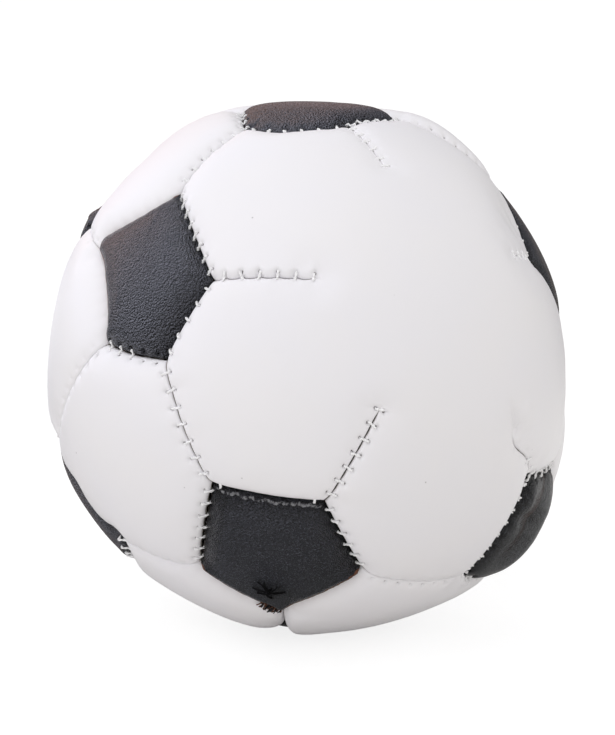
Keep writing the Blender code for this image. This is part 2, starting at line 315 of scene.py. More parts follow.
@dataclass(frozen=True)
class Edge:
    """How one panel's cut edge lies along a seam.

    Attributes:
        rise: of the edge above the seam's usual level; below zero for an edge drawn under.
        rise_reach: how far into the panel that fades.
        roll: width of the rounding.
        drop: depth of the rounding.
        dimple: how far each stitch pulls it down.
        dimple_reach: how far into the panel that fades.
        hole: from the edge to the needle's holes.
        hole_depth: of those holes.
        hole_radius: of them.
        rim: width of the knitted back that shows round the edge.
        frayed: from the edge to a torn ridge, or 0.
        frayed_width: of the ridge.
        frayed_height: of it.
        frayed_range: its least and greatest share of that height.
        frayed_stray: how far it wanders, from one side to the other.
        tatter: how far the cut strays into the panel.
    """

    rise: float = 0.0
    rise_reach: float = 1.3 * MM
    roll: float = 0.26 * MM
    drop: float = 0.22 * MM
    dimple: float = 0.1 * MM
    dimple_reach: float = 0.8 * MM
    hole: float = 0.45 * MM
    hole_depth: float = 0.42 * MM
    hole_radius: float = 0.15 * MM
    rim: float = 0.0
    frayed: float = 0.0
    frayed_width: float = 0.2 * MM
    frayed_height: float = 0.14 * MM
    frayed_range: Span = (0.45, 1.2)
    frayed_stray: float = 0.2 * MM
    tatter: float = 0.0

    def lift(self, away: Array, ends: Array) -> Array:
        """Height that the whole edge adds, from distances to the seam and its ends."""
        return self.rise * ends * np.exp(-((away / self.rise_reach) ** 2))

    def seat(self, distance: float, ends: float) -> float:
        """Height of the edge under a stitch, at this distance from the cut."""
        pulled = self.dimple * math.exp(-((distance / self.dimple_reach) ** 2))
        return float(self.lift(np.array(distance), ends)) - pulled

    def pierced(self, distance: Array, apart: Array) -> Array:
        """1 in a needle's hole, from distances to the cut edge and along it to a stitch."""
        return np.exp(-(apart**2 + (distance - self.hole) ** 2) / self.hole_radius**2)

    def torn(self, distance: Array, along: Array) -> Array:
        """1 on top of the torn ridge."""
        if not self.frayed:
            return np.zeros_like(distance)
        least, most = self.frayed_range
        stray = (tattered(along * LONG_TATTER_SHARE) - 0.5) * self.frayed_stray
        away = (distance - self.frayed - stray) / self.frayed_width
        return np.exp(-(away**2)) * (least + (most - least) * tattered(along))

    def relief(self, distance: Array, along: Array, apart: Array, ends: Array, weight: Array) -> Array:
        """Height that stitches, needle and cutting add close to the edge.

        Args:
            distance: of each point from the cut edge.
            along: the seam.
            apart: along the seam from the closest stitch.
            ends: 0 at the seam's ends, 1 away from them.
            weight: 1 where the edge is cut right through, 0 past a dart's tip.
        """
        grip = np.exp(-((apart / SEWING.grip_length) ** 2))
        height = -self.dimple * grip * np.exp(-((distance / self.dimple_reach) ** 2))
        height -= self.hole_depth * self.pierced(distance, apart)
        rounding = np.clip(1 - distance / self.roll, 0, 1)
        height -= self.drop * (1 - np.sqrt(1 - rounding**2)) * weight
        return height + self.frayed_height * self.torn(distance, along) * ends


DEEP_HOLE = 0.42 * MM  # a hole this deep gets the full painted shade
TATTER_STEP = 0.14 * MM
LONG_TATTER_SHARE = 0.31  # of the usual fineness, where an edge strays in longer bends
TATTERS = np.random.default_rng(4).random(400)


def tattered(along: Array) -> Array:
    """0 to 1, uneven along a torn or hand-cut edge."""
    return np.interp(np.asarray(along) / TATTER_STEP, np.arange(len(TATTERS)), TATTERS)


@dataclass(frozen=True)
class SeamLook:
    """How one seam came out of the sewer's hands.

    Attributes:
        left: the edge on its left.
        right: the edge on its right.
        bends: share of its length, and how far in mm it strays to its left there.
        wave: how far the line swings to its right between stitches.
        gap_share: of the usual gap.
        depth_share: of the usual draw-in.
        shown: shares of its length between which stitches lie outside; past them they are drawn under.
        bar_rise: of a stitch above the dimple that it pulls.
    """

    left: Edge = Edge()
    right: Edge = Edge()
    bends: tuple[Span, ...] = ()
    wave: float = 0.0
    gap_share: float = 1.0
    depth_share: float = 1.0
    shown: tuple[Span, ...] = ((0.0, 1.0),)
    bar_rise: float = 0.07 * MM


@dataclass(frozen=True)
class Sewing:
    """The stitches: overcast by hand, one bar square across the seam for each."""

    pitch: float = 1.55 * MM
    patch_margin: float = 0.9 * MM
    panel_margin: float = 1.3 * MM
    tip_margin: float = 0.45 * MM
    gap: float = 0.15 * MM
    tight_share: float = 0.45  # of the gap, left at a stitch
    grip_length: float = 0.34 * MM  # along the edge, either way from a stitch
    stray: float = 0.13 * MM
    end_fade: float = 0.7 * MM  # of an edge's rise, at a seam's end
    tip_fade: float = 1.6 * MM  # of a dart's edges, at its tip
    bend_reach: float = 3.0 * MM  # how far from the seam its bends are felt
    bend_steps: int = 8  # from each bend to the next


SEWING = Sewing()


@dataclass(frozen=True, eq=False)
class Seam:
    """A sewn line between two corners of the pattern."""

    key: tuple[str, ...]
    kind: SeamKind
    start: Array
    end: Array
    ball_radius: float
    look: SeamLook = SeamLook()

    @cached_property
    def leftward(self) -> Array:
        """Square to the line's plane, on its left seen from outside."""
        return normalised(np.cross(self.start, self.end))

    @cached_property
    def onward(self) -> Array:
        """Along the line at its start."""
        return np.cross(self.leftward, self.start)

    @cached_property
    def length(self) -> float:
        """Length on the ball."""
        return self.ball_radius * math.acos(float(np.clip(self.start @ self.end, -1, 1)))

    @cached_property
    def stitches(self) -> Array:
        """Distance of each stitch along the line."""
        first = SEWING.patch_margin if self.kind is SeamKind.PATCH else SEWING.panel_margin
        last = SEWING.tip_margin if self.kind is SeamKind.DART else first
        room = self.length - first - last
        count = max(2, round(room / SEWING.pitch))
        return first + room * np.arange(count + 1) / count

    @cached_property
    def bend_table(self) -> Array:
        """Points of the line's bends, close enough to read straight between."""
        stops = np.array(((0.0, 0.0), *self.look.bends, (1.0, 0.0))) * (1, MM)
        return smooth_path(stops, SEWING.bend_steps) if len(stops) > 2 else stops

    def sag(self, along: Array) -> Array:
        """Sideways place of the line, to its left."""
        bends = np.interp(along / self.length, *self.bend_table.T)
        between = (1 - np.exp(-((self.apart(along) / SEWING.grip_length) ** 2))) * self.ends(along)
        return bends - self.look.wave * between

    def apart(self, along: Array) -> Array:
        """Distance along the line from the closest stitch."""
        return np.min(np.abs(np.asarray(along)[..., None] - self.stitches), axis=-1)

    def ends(self, along: Array) -> Array:
        """0 at the line's ends, 1 away from them."""
        return smoothstep(np.minimum(along, self.length - along) / SEWING.end_fade)

    def near(self, directions: Array, reach: float) -> Array:
        """Whether directions may lie within this distance of the line."""
        limit = math.cos((self.length / 2 + reach) / self.ball_radius)
        return directions @ normalised(self.start + self.end) > limit

    def shows(self, along: float) -> bool:
        """Whether a stitch here lies outside."""
        return any(first <= along / self.length <= last for first, last in self.look.shown)

    def directions(self, along: Array, aside: Array) -> Array:
        """Directions at distances along the line and to its left."""
        along = np.asarray(along, float)
        angle = (along / self.ball_radius)[..., None]
        line = self.start * np.cos(angle) + self.onward * np.sin(angle)
        offset = (np.asarray(aside) + self.sag(along))[..., None] / self.ball_radius
        return normalised(line + self.leftward * offset)

    def measure(self, directions: Array) -> tuple[Array, Array, Array]:
        """Place directions by the line.

        Args:
            directions: one or more directions from the ball's middle.

        Returns:
            Distance along it, kept between its ends; distance to its left; distance from it.
        """
        radius = self.ball_radius
        along = np.arctan2(directions @ self.onward, directions @ self.start) * radius
        kept = np.clip(along, 0, self.length)
        beside, sag = np.arcsin(np.clip(directions @ self.leftward, -1, 1)) * radius, self.sag(kept)
        beside = beside - sag * np.exp(-(((beside - sag) / SEWING.bend_reach) ** 2))
        return kept, beside, np.hypot(beside, along - kept)

    def edge_weight(self, along: Array) -> Array:
        """1 where the edge is cut right through, easing to 0 at a dart's tip."""
        if self.kind is not SeamKind.DART:
            return np.ones_like(along)
        return smoothstep((self.length - along) / SEWING.tip_fade)

    def half_gap(self, along: Array) -> Array:
        """From the line to either edge: snug at each stitch, open between them."""
        grip = np.exp(-((self.apart(along) / SEWING.grip_length) ** 2))
        loose = 1 - (1 - SEWING.tight_share) * grip
        return SEWING.gap / 2 * self.look.gap_share * loose * self.edge_weight(along)


def edge_mm(like: Edge = Edge(), **lengths: float) -> Edge:
    """An edge like another one, but for these lengths in mm."""
    return replace(like, **{name: length * MM for name, length in lengths.items()})


# Edges and seams that came out alike, and the seams by name. A patch's own side is (patch,
# corner towards, next corner towards), anticlockwise with the patch on its left; a seam
# between white panels is the two patches at its ends; a dart is (patch, white middle).

FLUSH = edge_mm(dimple=0.07, hole_depth=0.36)
FAINT_EDGE = edge_mm(dimple=0.06, hole_depth=0.1)
FAINT = SeamLook(FAINT_EDGE, FAINT_EDGE, gap_share=0.3, depth_share=0.35, bar_rise=0.03 * MM)
HOLES_ONLY = SeamLook(FLUSH, FAINT_EDGE, gap_share=0.25, depth_share=0.35, shown=())
PROUD_PATCH = edge_mm(rise=0.34, roll=0.12, drop=0.06, dimple=0.03, hole_depth=0.0, rim=0.3, tatter=0.1)
RIMMED_PATCH = edge_mm(PROUD_PATCH, rim=0.44, tatter=0.34)
UNDER_PATCH = edge_mm(rise=-0.12, roll=0.3, drop=0.3, hole_depth=0.0)
LAPPED_PATCH = edge_mm(rise=-0.42, rise_reach=1.5, roll=0.36, drop=0.34, hole=0.32, hole_depth=0.1)
LAPPING_PANEL = edge_mm(rise=0.08)
HIGH_PANEL = edge_mm(LAPPING_PANEL, rise=0.35, rise_reach=2.0)
SUNK_PATCH = edge_mm(LAPPED_PATCH, rise=-0.8, rise_reach=2.6)
HIGH_PATCH = edge_mm(PROUD_PATCH, rise=0.6, rise_reach=3.2, rim=0)
TOOTHED_PATCH = edge_mm(LAPPED_PATCH, hole=0.75, dimple=0.15)

SEAM_LOOKS: dict[tuple[str, ...], SeamLook] = {
    ("left", "low_front", "front"): SeamLook(LAPPED_PATCH, LAPPING_PANEL),
    ("left", "front", "top"): SeamLook(LAPPED_PATCH, LAPPING_PANEL),
    ("left", "top", "rear_left"): SeamLook(
        PROUD_PATCH,
        UNDER_PATCH,
        bends=((0.15, 0.9), (0.35, 1.0), (0.55, 0.6), (0.75, -0.1), (0.9, -0.65)),
        shown=(),
    ),
    ("left", "rear_left", "low_left"): SeamLook(
        PROUD_PATCH,
        UNDER_PATCH,
        bends=((0.1, 0.6), (0.3, 1.4), (0.6, 1.6), (0.88, 1.1)),
        shown=(),
    ),
    ("left", "low_left", "low_front"): SeamLook(
        edge_mm(rise=0.1), bends=((0.5, -0.25),), shown=((0.0, 0.6),)
    ),
    ("low_front", "low_right", "front"): SeamLook(LAPPED_PATCH),
    ("low_front", "front", "left"): SeamLook(
        edge_mm(rise=-0.25, roll=0.3, drop=0.3, hole=0.3, hole_depth=0.1, frayed=0.36),
        edge_mm(rise=0.05, roll=0.6, drop=0.45, dimple=0.05, hole_depth=0.0),
        shown=((0.0, 0.12), (0.88, 1.0)),
    ),
    ("low_front", "left", "low_left"): SeamLook(LAPPED_PATCH),
    ("low_front", "low_left", "bottom"): SeamLook(
        RIMMED_PATCH, UNDER_PATCH, bends=((0.5, 0.15), (0.8, 0.35), (0.93, 0.1)), shown=()
    ),
    ("low_front", "bottom", "low_right"): SeamLook(
        RIMMED_PATCH, UNDER_PATCH, bends=((0.2, 0.5), (0.6, 0.4)), shown=()
    ),
    ("top", "left", "front"): SeamLook(
        TOOTHED_PATCH,
        LAPPING_PANEL,
        bends=((0.2, -1.5), (0.5, -2.3), (0.8, -1.5)),
        bar_rise=0.24 * MM,
    ),
    ("top", "front", "right"): SeamLook(TOOTHED_PATCH, LAPPING_PANEL, bar_rise=0.24 * MM),
    ("right", "top", "front"): SeamLook(
        edge_mm(LAPPED_PATCH, rise=0.2, rise_reach=3.0),
        HIGH_PANEL,
        bends=((0.12, -1.3), (0.4, -0.2), (0.7, 0.4)),
        shown=((0.5, 1.0),),
        bar_rise=0.2 * MM,
    ),
    ("right", "front", "low_right"): SeamLook(
        edge_mm(rise=0.05, rise_reach=3.0),
        HIGH_PANEL,
        bends=((0.35, 0.1), (0.8, -1.4)),
        shown=(),
    ),
    ("low_right", "front", "low_front"): SeamLook(TOOTHED_PATCH, LAPPING_PANEL, bar_rise=0.2 * MM),
    ("low_right", "low_front", "bottom"): SeamLook(bends=((0.5, -1.1),)),
    ("low_right", "right", "front"): SeamLook(TOOTHED_PATCH, LAPPING_PANEL, bar_rise=0.16 * MM),
    ("low_left", "low_front", "left"): SeamLook(
        SUNK_PATCH,
        LAPPING_PANEL,
        bends=((0.1, 0.1), (0.25, 1.2), (0.42, 1.1), (0.62, 0.1), (0.85, 1.2)),
        shown=(),
    ),
    ("low_left", "bottom", "low_front"): SeamLook(
        edge_mm(rise=0.35, hole=0.6), UNDER_PATCH, bends=((0.6, -0.7),)
    ),
    ("rear_left", "left", "top"): SeamLook(
        edge_mm(HIGH_PATCH, rise=0.9),
        UNDER_PATCH,
        bends=((0.2, 0.3), (0.6, -1.2)),
        shown=(),
        bar_rise=-0.7 * MM,
    ),
    ("rear_left", "low_left", "left"): SeamLook(
        HIGH_PATCH,
        UNDER_PATCH,
        bends=((0.35, 0.4), (0.62, -0.8), (0.88, 1.2)),
        shown=(),
        bar_rise=-0.7 * MM,
    ),
    ("left", "low_front"): SeamLook(depth_share=0.5),
    ("low_front", "front"): SeamLook(depth_share=0.5),
    ("left", "front"): SeamLook(
        edge_mm(rise=0.32, roll=0.75, drop=0.6, dimple=0.28, dimple_reach=0.6),
        edge_mm(hole_depth=0.12, hole=0.3),
        wave=0.16 * MM,
        gap_share=0.35,
        depth_share=0.55,
    ),
    ("top", "front"): replace(FAINT, wave=0.1 * MM),
    ("right", "front"): FAINT,
    ("low_right", "front"): replace(
        FAINT, bends=((0.4, 0.1), (0.7, 0.9), (0.9, 0.9)), shown=((0.0, 0.55),), gap_share=0.6
    ),
    ("top", "right"): SeamLook(
        edge_mm(FLUSH, rise=0.3, rise_reach=2.2, hole=0.3),
        edge_mm(FAINT_EDGE, rise=-0.35, rise_reach=3.0),
        bends=((0.5, -1.3),),
        gap_share=0.3,
        depth_share=0.8,
        shown=(),
    ),
    ("rear_left", "left"): HOLES_ONLY,
    ("left", "low_left"): HOLES_ONLY,
    ("low_left", "low_front"): HOLES_ONLY,
    ("low_right", "low_front"): HOLES_ONLY,
    ("right", "low_right"): FAINT,
    ("low_front", "bottom"): SeamLook(
        edge_mm(rise=0.5, rise_reach=2.6, roll=1.1, drop=0.7, hole_depth=0.0),
        edge_mm(roll=0.5, drop=0.45, hole_depth=0.0),
        gap_share=0.1,
        depth_share=1.2,
        shown=(),
    ),
}


# The skin: what every panel, thread and knot lies on


@dataclass(frozen=True)
class Fold:
    """A crease or a ridge where the filling has shifted, with its lengths in mm.

    Attributes:
        start: azimuth and elevation in degrees of one end.
        end: of the other.
        height: how far it stands out; below zero for a crease.
        width: from its middle to where it has mostly faded.
        bow: how far it bends to its left.
        panel: the only panel that has it, or all of them.
    """

    start: Span
    end: Span
    height: float
    width: float
    bow: float = 0.0
    panel: str = ""


@dataclass(frozen=True, eq=False)
class Swelling:
    """How far the filling pushes the skin out, on a grid over the ball.

    Attributes:
        heights: one row for each elevation from the top down, one column for each azimuth.
    """

    heights: Array

    @staticmethod
    def shares(t: Array) -> tuple[Array, ...]:
        """Weights of a smooth cubic's four nodes, at shares t of the way between its middle two."""
        return (
            (1 - t) ** 3 / 6,
            (3 * t**3 - 6 * t**2 + 4) / 6,
            (-3 * t**3 + 3 * t**2 + 3 * t + 1) / 6,
            t**3 / 6,
        )

    def at(self, directions: Array) -> Array:
        """Its height in these directions."""
        rows, columns = self.heights.shape
        row = np.arccos(np.clip(directions[:, 2], -1, 1)) / np.pi * (rows - 1)
        column = np.arctan2(directions[:, 1], directions[:, 0]) / (2 * np.pi) * columns
        first_row, first_column = np.floor(row).astype(int), np.floor(column).astype(int)
        total = np.zeros(len(directions))
        for i, down in enumerate(self.shares(row - first_row), -1):
            line = np.clip(first_row + i, 0, rows - 1)
            for j, across in enumerate(self.shares(column - first_column), -1):
                total += down * across * self.heights[line, (first_column + j) % columns]
        return total

    @classmethod
    def through(cls, directions: Array, heights: Array, rows: int = 181, near: int = 7) -> "Swelling":
        """The grid that runs smoothly through heights known in some directions."""
        tree = KDTree(len(directions))
        for number, direction in enumerate(directions):
            tree.insert(direction, number)
        tree.balance()
        down = np.linspace(0, np.pi, rows)
        across = np.arange(2 * rows - 2) * np.pi / (rows - 1)
        grid = np.zeros((rows, len(across)))
        whole = 1.0001  # a little over 1, so that the farthest one still counts
        for i, angle in enumerate(down):
            for j, turn in enumerate(across):
                node = (math.sin(angle) * math.cos(turn), math.sin(angle) * math.sin(turn), math.cos(angle))
                found = tree.find_n(node, near)
                widest = found[-1][2]
                weights = [whole - (away / widest) ** 2 for _, _, away in found]
                known = sum(w * heights[number] for w, (_, number, _) in zip(weights, found))
                grid[i, j] = known / sum(weights)
        return cls(grid)


@dataclass(frozen=True)
class Skin:
    """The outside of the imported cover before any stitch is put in."""

    pattern: Pattern
    swelling: Swelling | None = None
    ball_radius: float = 25.9 * MM
    rest_flat_depth: float = 0.5 * MM
    seam_depth: float = 0.85 * MM
    seam_reach: float = 4.2 * MM
    edge_roll_share: float = 0.45
    edge_roll_reach_share: float = 0.3
    dart_tip_depth_share: float = 0.3
    seam_blend: float = 4
    slight_dip: float = 0.07 * MM  # below which a seam's pull is lost in the skin's stiffness
    fold_fullness: float = 0.7  # power of a fold's run-out; a smaller one keeps its ends higher
    # Azimuth and elevation in degrees, height as a share of the radius, width in degrees
    lump_shares: tuple[tuple[float, float, float, float], ...] = (
        (85, 3, -0.044, 17),
        (82, 32, -0.052, 14),
        (102, 26, -0.004, 9),
        (101, 37, -0.012, 7),
        (117, 61, 0.035, 12),
        (-122, 64, 0.035, 14),
        (-103, 41, -0.02, 9),
        (-91, 6, -0.02, 18),
        (-85, -21, 0.025, 11),
        (-65, -58, -0.025, 10),
        (76, -42, 0.06, 14),
        (82, -28, 0.02, 12),
    )
    folds: tuple[Fold, ...] = (
        Fold((66, -12), (52, -37), 0.22, 1.1, panel="low_right_black_patch"),
        Fold((72, -15), (58, -42), -0.25, 1.1, 0.6, panel="low_right_black_patch"),
        Fold((80, -20), (66, -44), 0.35, 1.3, panel="low_right_black_patch"),
        Fold((58, -26), (76, -32), -0.4, 0.8, panel="low_right_black_patch"),
        Fold((-92, -8), (-60, -37), -0.65, 2.8, panel="low_left_black_patch"),
        Fold((47.5, -5), (44.5, 3), -0.34, 0.4, -0.2),
        Fold((51, -4), (49, 3), 0.3, 1.0),
        Fold((98, 70), (165, 72), 0.3, 2.2, panel="top_black_patch"),
        Fold((-102, 42), (-97, 20), -0.4, 2.0, panel="rear_left_black_patch"),
        Fold((150, 76), (190, 60), -0.3, 1.6, panel="top_black_patch"),
    )

    @cached_property
    def seams(self) -> dict[tuple[str, ...], Seam]:
        """Every seam and dart, by its key."""
        corners, made = self.pattern.corners, []
        for place in self.pattern.patches:
            ring = self.pattern.rings[place]
            for one, two in zip(ring, ring[1:] + ring[:1]):
                ends = corners[place, one], corners[place, two]
                made.append(((place, one, two), SeamKind.PATCH, *ends))
        for one, two in self.pattern.adjoining:
            middle = self.pattern.white_middle_of((one, two))
            if middle is None:
                made.append(((one, two), SeamKind.PANEL, corners[one, two], corners[two, one]))
            else:
                outer = two if middle == one else one
                ends = corners[outer, middle], corners[middle, outer]
                made.append(((outer, middle), SeamKind.DART, *ends))
        unknown = set(SEAM_LOOKS) - {seam[0] for seam in made}
        if unknown:
            raise KeyError(f"no such seams: {sorted(unknown)}")
        looks = SEAM_LOOKS.get
        return {m[0]: Seam(*m, self.ball_radius, looks(m[0], SeamLook())) for m in made}

    @cached_property
    def middle(self) -> Array:
        """The ball's middle, at the height that puts the pressed flat at zero."""
        bottom = self.pattern.middles["bottom"][None, :]
        return UP * (float(self.packed_radius(bottom)[0]) - self.rest_flat_depth)

    def packed_radius(self, directions: Array) -> Array:
        """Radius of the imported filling's lumpy ball."""
        radius = np.full(len(directions), self.ball_radius)
        for azimuth, elevation, share, width in self.lump_shares:
            away = np.degrees(np.arccos(np.clip(directions @ aimed(azimuth, elevation), -1, 1)))
            radius += share * self.ball_radius * np.exp(-((away / width) ** 2))
        return radius

    def dip(self, directions: Array) -> Array:
        """How far the seams draw the skin in."""
        total = np.zeros(len(directions))
        for seam in self.seams.values():
            near = seam.near(directions, self.seam_reach)
            along, _, away = seam.measure(directions[near])
            reach = np.clip(away / self.seam_reach, 0, 1)
            roll = np.clip(reach / self.edge_roll_reach_share, 0, 1)
            share = self.edge_roll_share
            fall = (1 - share) * (1 - reach) ** 2 + share * (1 - roll) ** 2
            depth = self.seam_depth * seam.look.depth_share
            if seam.kind is SeamKind.DART:
                depth = depth * (1 + (self.dart_tip_depth_share - 1) * along / seam.length)
            total[near] += (depth * fall) ** self.seam_blend
        return (total + self.slight_dip**self.seam_blend) ** (1 / self.seam_blend) - self.slight_dip

    def radius(self, directions: Array, panel: str = "") -> Array:
        """Radius of the skin, with the folds that this panel has."""
        radius = self.packed_radius(directions) - self.dip(directions)
        if self.swelling is not None:
            radius += self.swelling.at(directions)
        for fold in self.folds:
            if fold.panel in ("", panel):
                ends = aimed(*fold.start), aimed(*fold.end)
                look = SeamLook(bends=((0.5, fold.bow),))
                line = Seam(("fold",), SeamKind.PANEL, *ends, self.ball_radius, look)
                along, _, away = line.measure(directions)
                fade = np.sin(np.pi * np.clip(along / line.length, 0, 1)) ** self.fold_fullness
                radius += fold.height * MM * fade * np.exp(-((away / (fold.width * MM)) ** 2))
        return radius

    def place(self, directions: Array, radius: Array, sink: float = 0.0) -> Array:
        """Points at these radii, pressed flat where the footbag stands."""
        points = directions * np.asarray(radius)[:, None] + self.middle
        points[:, 2] = np.maximum(points[:, 2], sink)
        return points


@dataclass(frozen=True)
class Packing:
    """The filling's push, as a cloth simulation of the skin that the stitches hold.

    Attributes:
        fineness: of the simulated skin, as subdivisions of an icosahedron.
        scale: how many times life size it is simulated.
        growth: how much wider than its seams the skin has been cut, as a share.
        hold: how far round it a stitch holds the skin.
        limit: how far a point may move either way.
    """

    skin: Skin
    fineness: int = 6
    scale: float = 10.0
    pressure: float = 4.0
    growth: float = 0.015
    frames: int = 20
    hold: float = 0.7 * MM
    hold_levels: int = 20
    limit: float = 0.3 * MM

    def held(self, directions: Array) -> Array:
        """1 where a stitch holds the skin, 0 away from all of them."""
        most = np.zeros(len(directions))
        for seam in self.skin.seams.values():
            near = seam.near(directions, 3 * self.hold)  # past which nothing is left of it
            along, _, away = seam.measure(directions[near])
            reach = np.hypot(away, np.abs(seam.apart(along)))
            most[near] = np.maximum(most[near], np.exp(-((reach / self.hold) ** 2)))
        return most

    def sheet(self) -> tuple[bpy.types.Object, Array]:
        """The skin to simulate, and the direction of each of its points."""
        mesh, form = bpy.data.meshes.new("packed_skin"), bmesh.new()
        bmesh.ops.create_icosphere(form, subdivisions=self.fineness, radius=1)
        form.to_mesh(mesh)
        form.free()
        directions = normalised(points_of(mesh))
        points = directions * self.skin.radius(directions)[:, None] * self.scale
        mesh.vertices.foreach_set("co", points.ravel())
        skin = placed("packed_skin", mesh)
        group = skin.vertex_groups.new(name="held")
        levels = np.round(self.held(directions) * self.hold_levels).astype(int)
        for level in range(1, self.hold_levels + 1):
            group.add(np.flatnonzero(levels == level).tolist(), level / self.hold_levels, "REPLACE")
        return skin, directions

    def run(self) -> Swelling:
        """Push the skin out and keep how far it went."""
        sheet, directions = self.sheet()
        cloth = sheet.modifiers.new("Cloth", "CLOTH")
        cloth.settings.use_pressure = True
        cloth.settings.uniform_pressure_force = self.pressure
        cloth.settings.effector_weights.gravity = 0
        cloth.settings.vertex_group_mass = "held"
        cloth.settings.shrink_min = -self.growth
        cloth.collision_settings.use_collision = False
        cloth.point_cache.frame_end = self.frames
        for moment in range(1, self.frames + 1):
            bpy.context.scene.frame_set(moment)
        pushed = sheet.evaluated_get(bpy.context.evaluated_depsgraph_get()).to_mesh()
        radius = np.linalg.norm(points_of(pushed), axis=1) / self.scale
        moved = radius - self.skin.radius(directions)
        log.info("skin pushed out %.2f mm on average, %.2f at most", moved.mean() / MM, moved.max() / MM)
        bpy.data.objects.remove(sheet)
        bpy.context.scene.frame_set(1)
        moved -= np.median(moved)
        return Swelling.through(directions, np.clip(moved, -self.limit, self.limit))


# Panels


COVER_THICKNESS = 1.0 * MM


@dataclass(frozen=True)
class MeshSteps:
    """How finely the panels are drawn."""

    per_stitch: int = 8
    plain_side: int = 40
    # From the cut edge, at full fineness
    near: tuple[float, ...] = tuple(
        d * MM for d in (0, 0.05, 0.12, 0.22, 0.34, 0.46, 0.58, 0.7, 0.88, 1.15, 1.55)
    )
    # Shares of the way from the middle to the last of those
    half_shares: tuple[float, ...] = (0.94, 0.86, 0.76)
    quarter_shares: tuple[float, ...] = (0.64, 0.5, 0.36, 0.22, 0.1)
    # Shares of the way out to the border, for the inside
    inside_border_shares: tuple[float, ...] = (0.97, 0.93)
    inner_shares: tuple[float, ...] = (0.72, 0.4)


STEPS = MeshSteps()


class Layer(IntEnum):
    """Which of a panel's materials a face has."""

    FACE = 0
    EDGE = 1
    BACK = 2


@dataclass(frozen=True)
class Side:
    """One side of a cell: the seam it lies on, or a plain join inside a lobed panel."""

    seam: Seam | None
    on_left: bool = True

    @property
    def edge(self) -> Edge:
        """How the cell's edge lies here."""
        return self.seam.look.left if self.on_left else self.seam.look.right

    def lift(self, directions: Array) -> Array:
        """Height that this side's edge adds anywhere in the cell."""
        along, _, away = self.seam.measure(directions)
        return self.edge.lift(away, self.seam.ends(along))

    def detail(self, directions: Array, distance: Array) -> tuple[Array, Array, Array]:
        """What stitches, needle and cutting do near this side.

        Args:
            directions: of the points.
            distance: each point's distance from the cut edge.

        Returns:
            Heights, wear from 0 to 1, and piercing from 0 to 1, which sets the painted shade in the white
            vinyl's needle holes.
        """
        along, _, _ = self.seam.measure(directions)
        apart, ends = self.seam.apart(along), self.seam.ends(along)
        edge = self.edge
        height = edge.relief(distance, along, apart, ends, self.seam.edge_weight(along))
        torn = edge.torn(distance, along)
        pierced = edge.pierced(distance, apart) * edge.hole_depth / DEEP_HOLE
        return height, torn, pierced


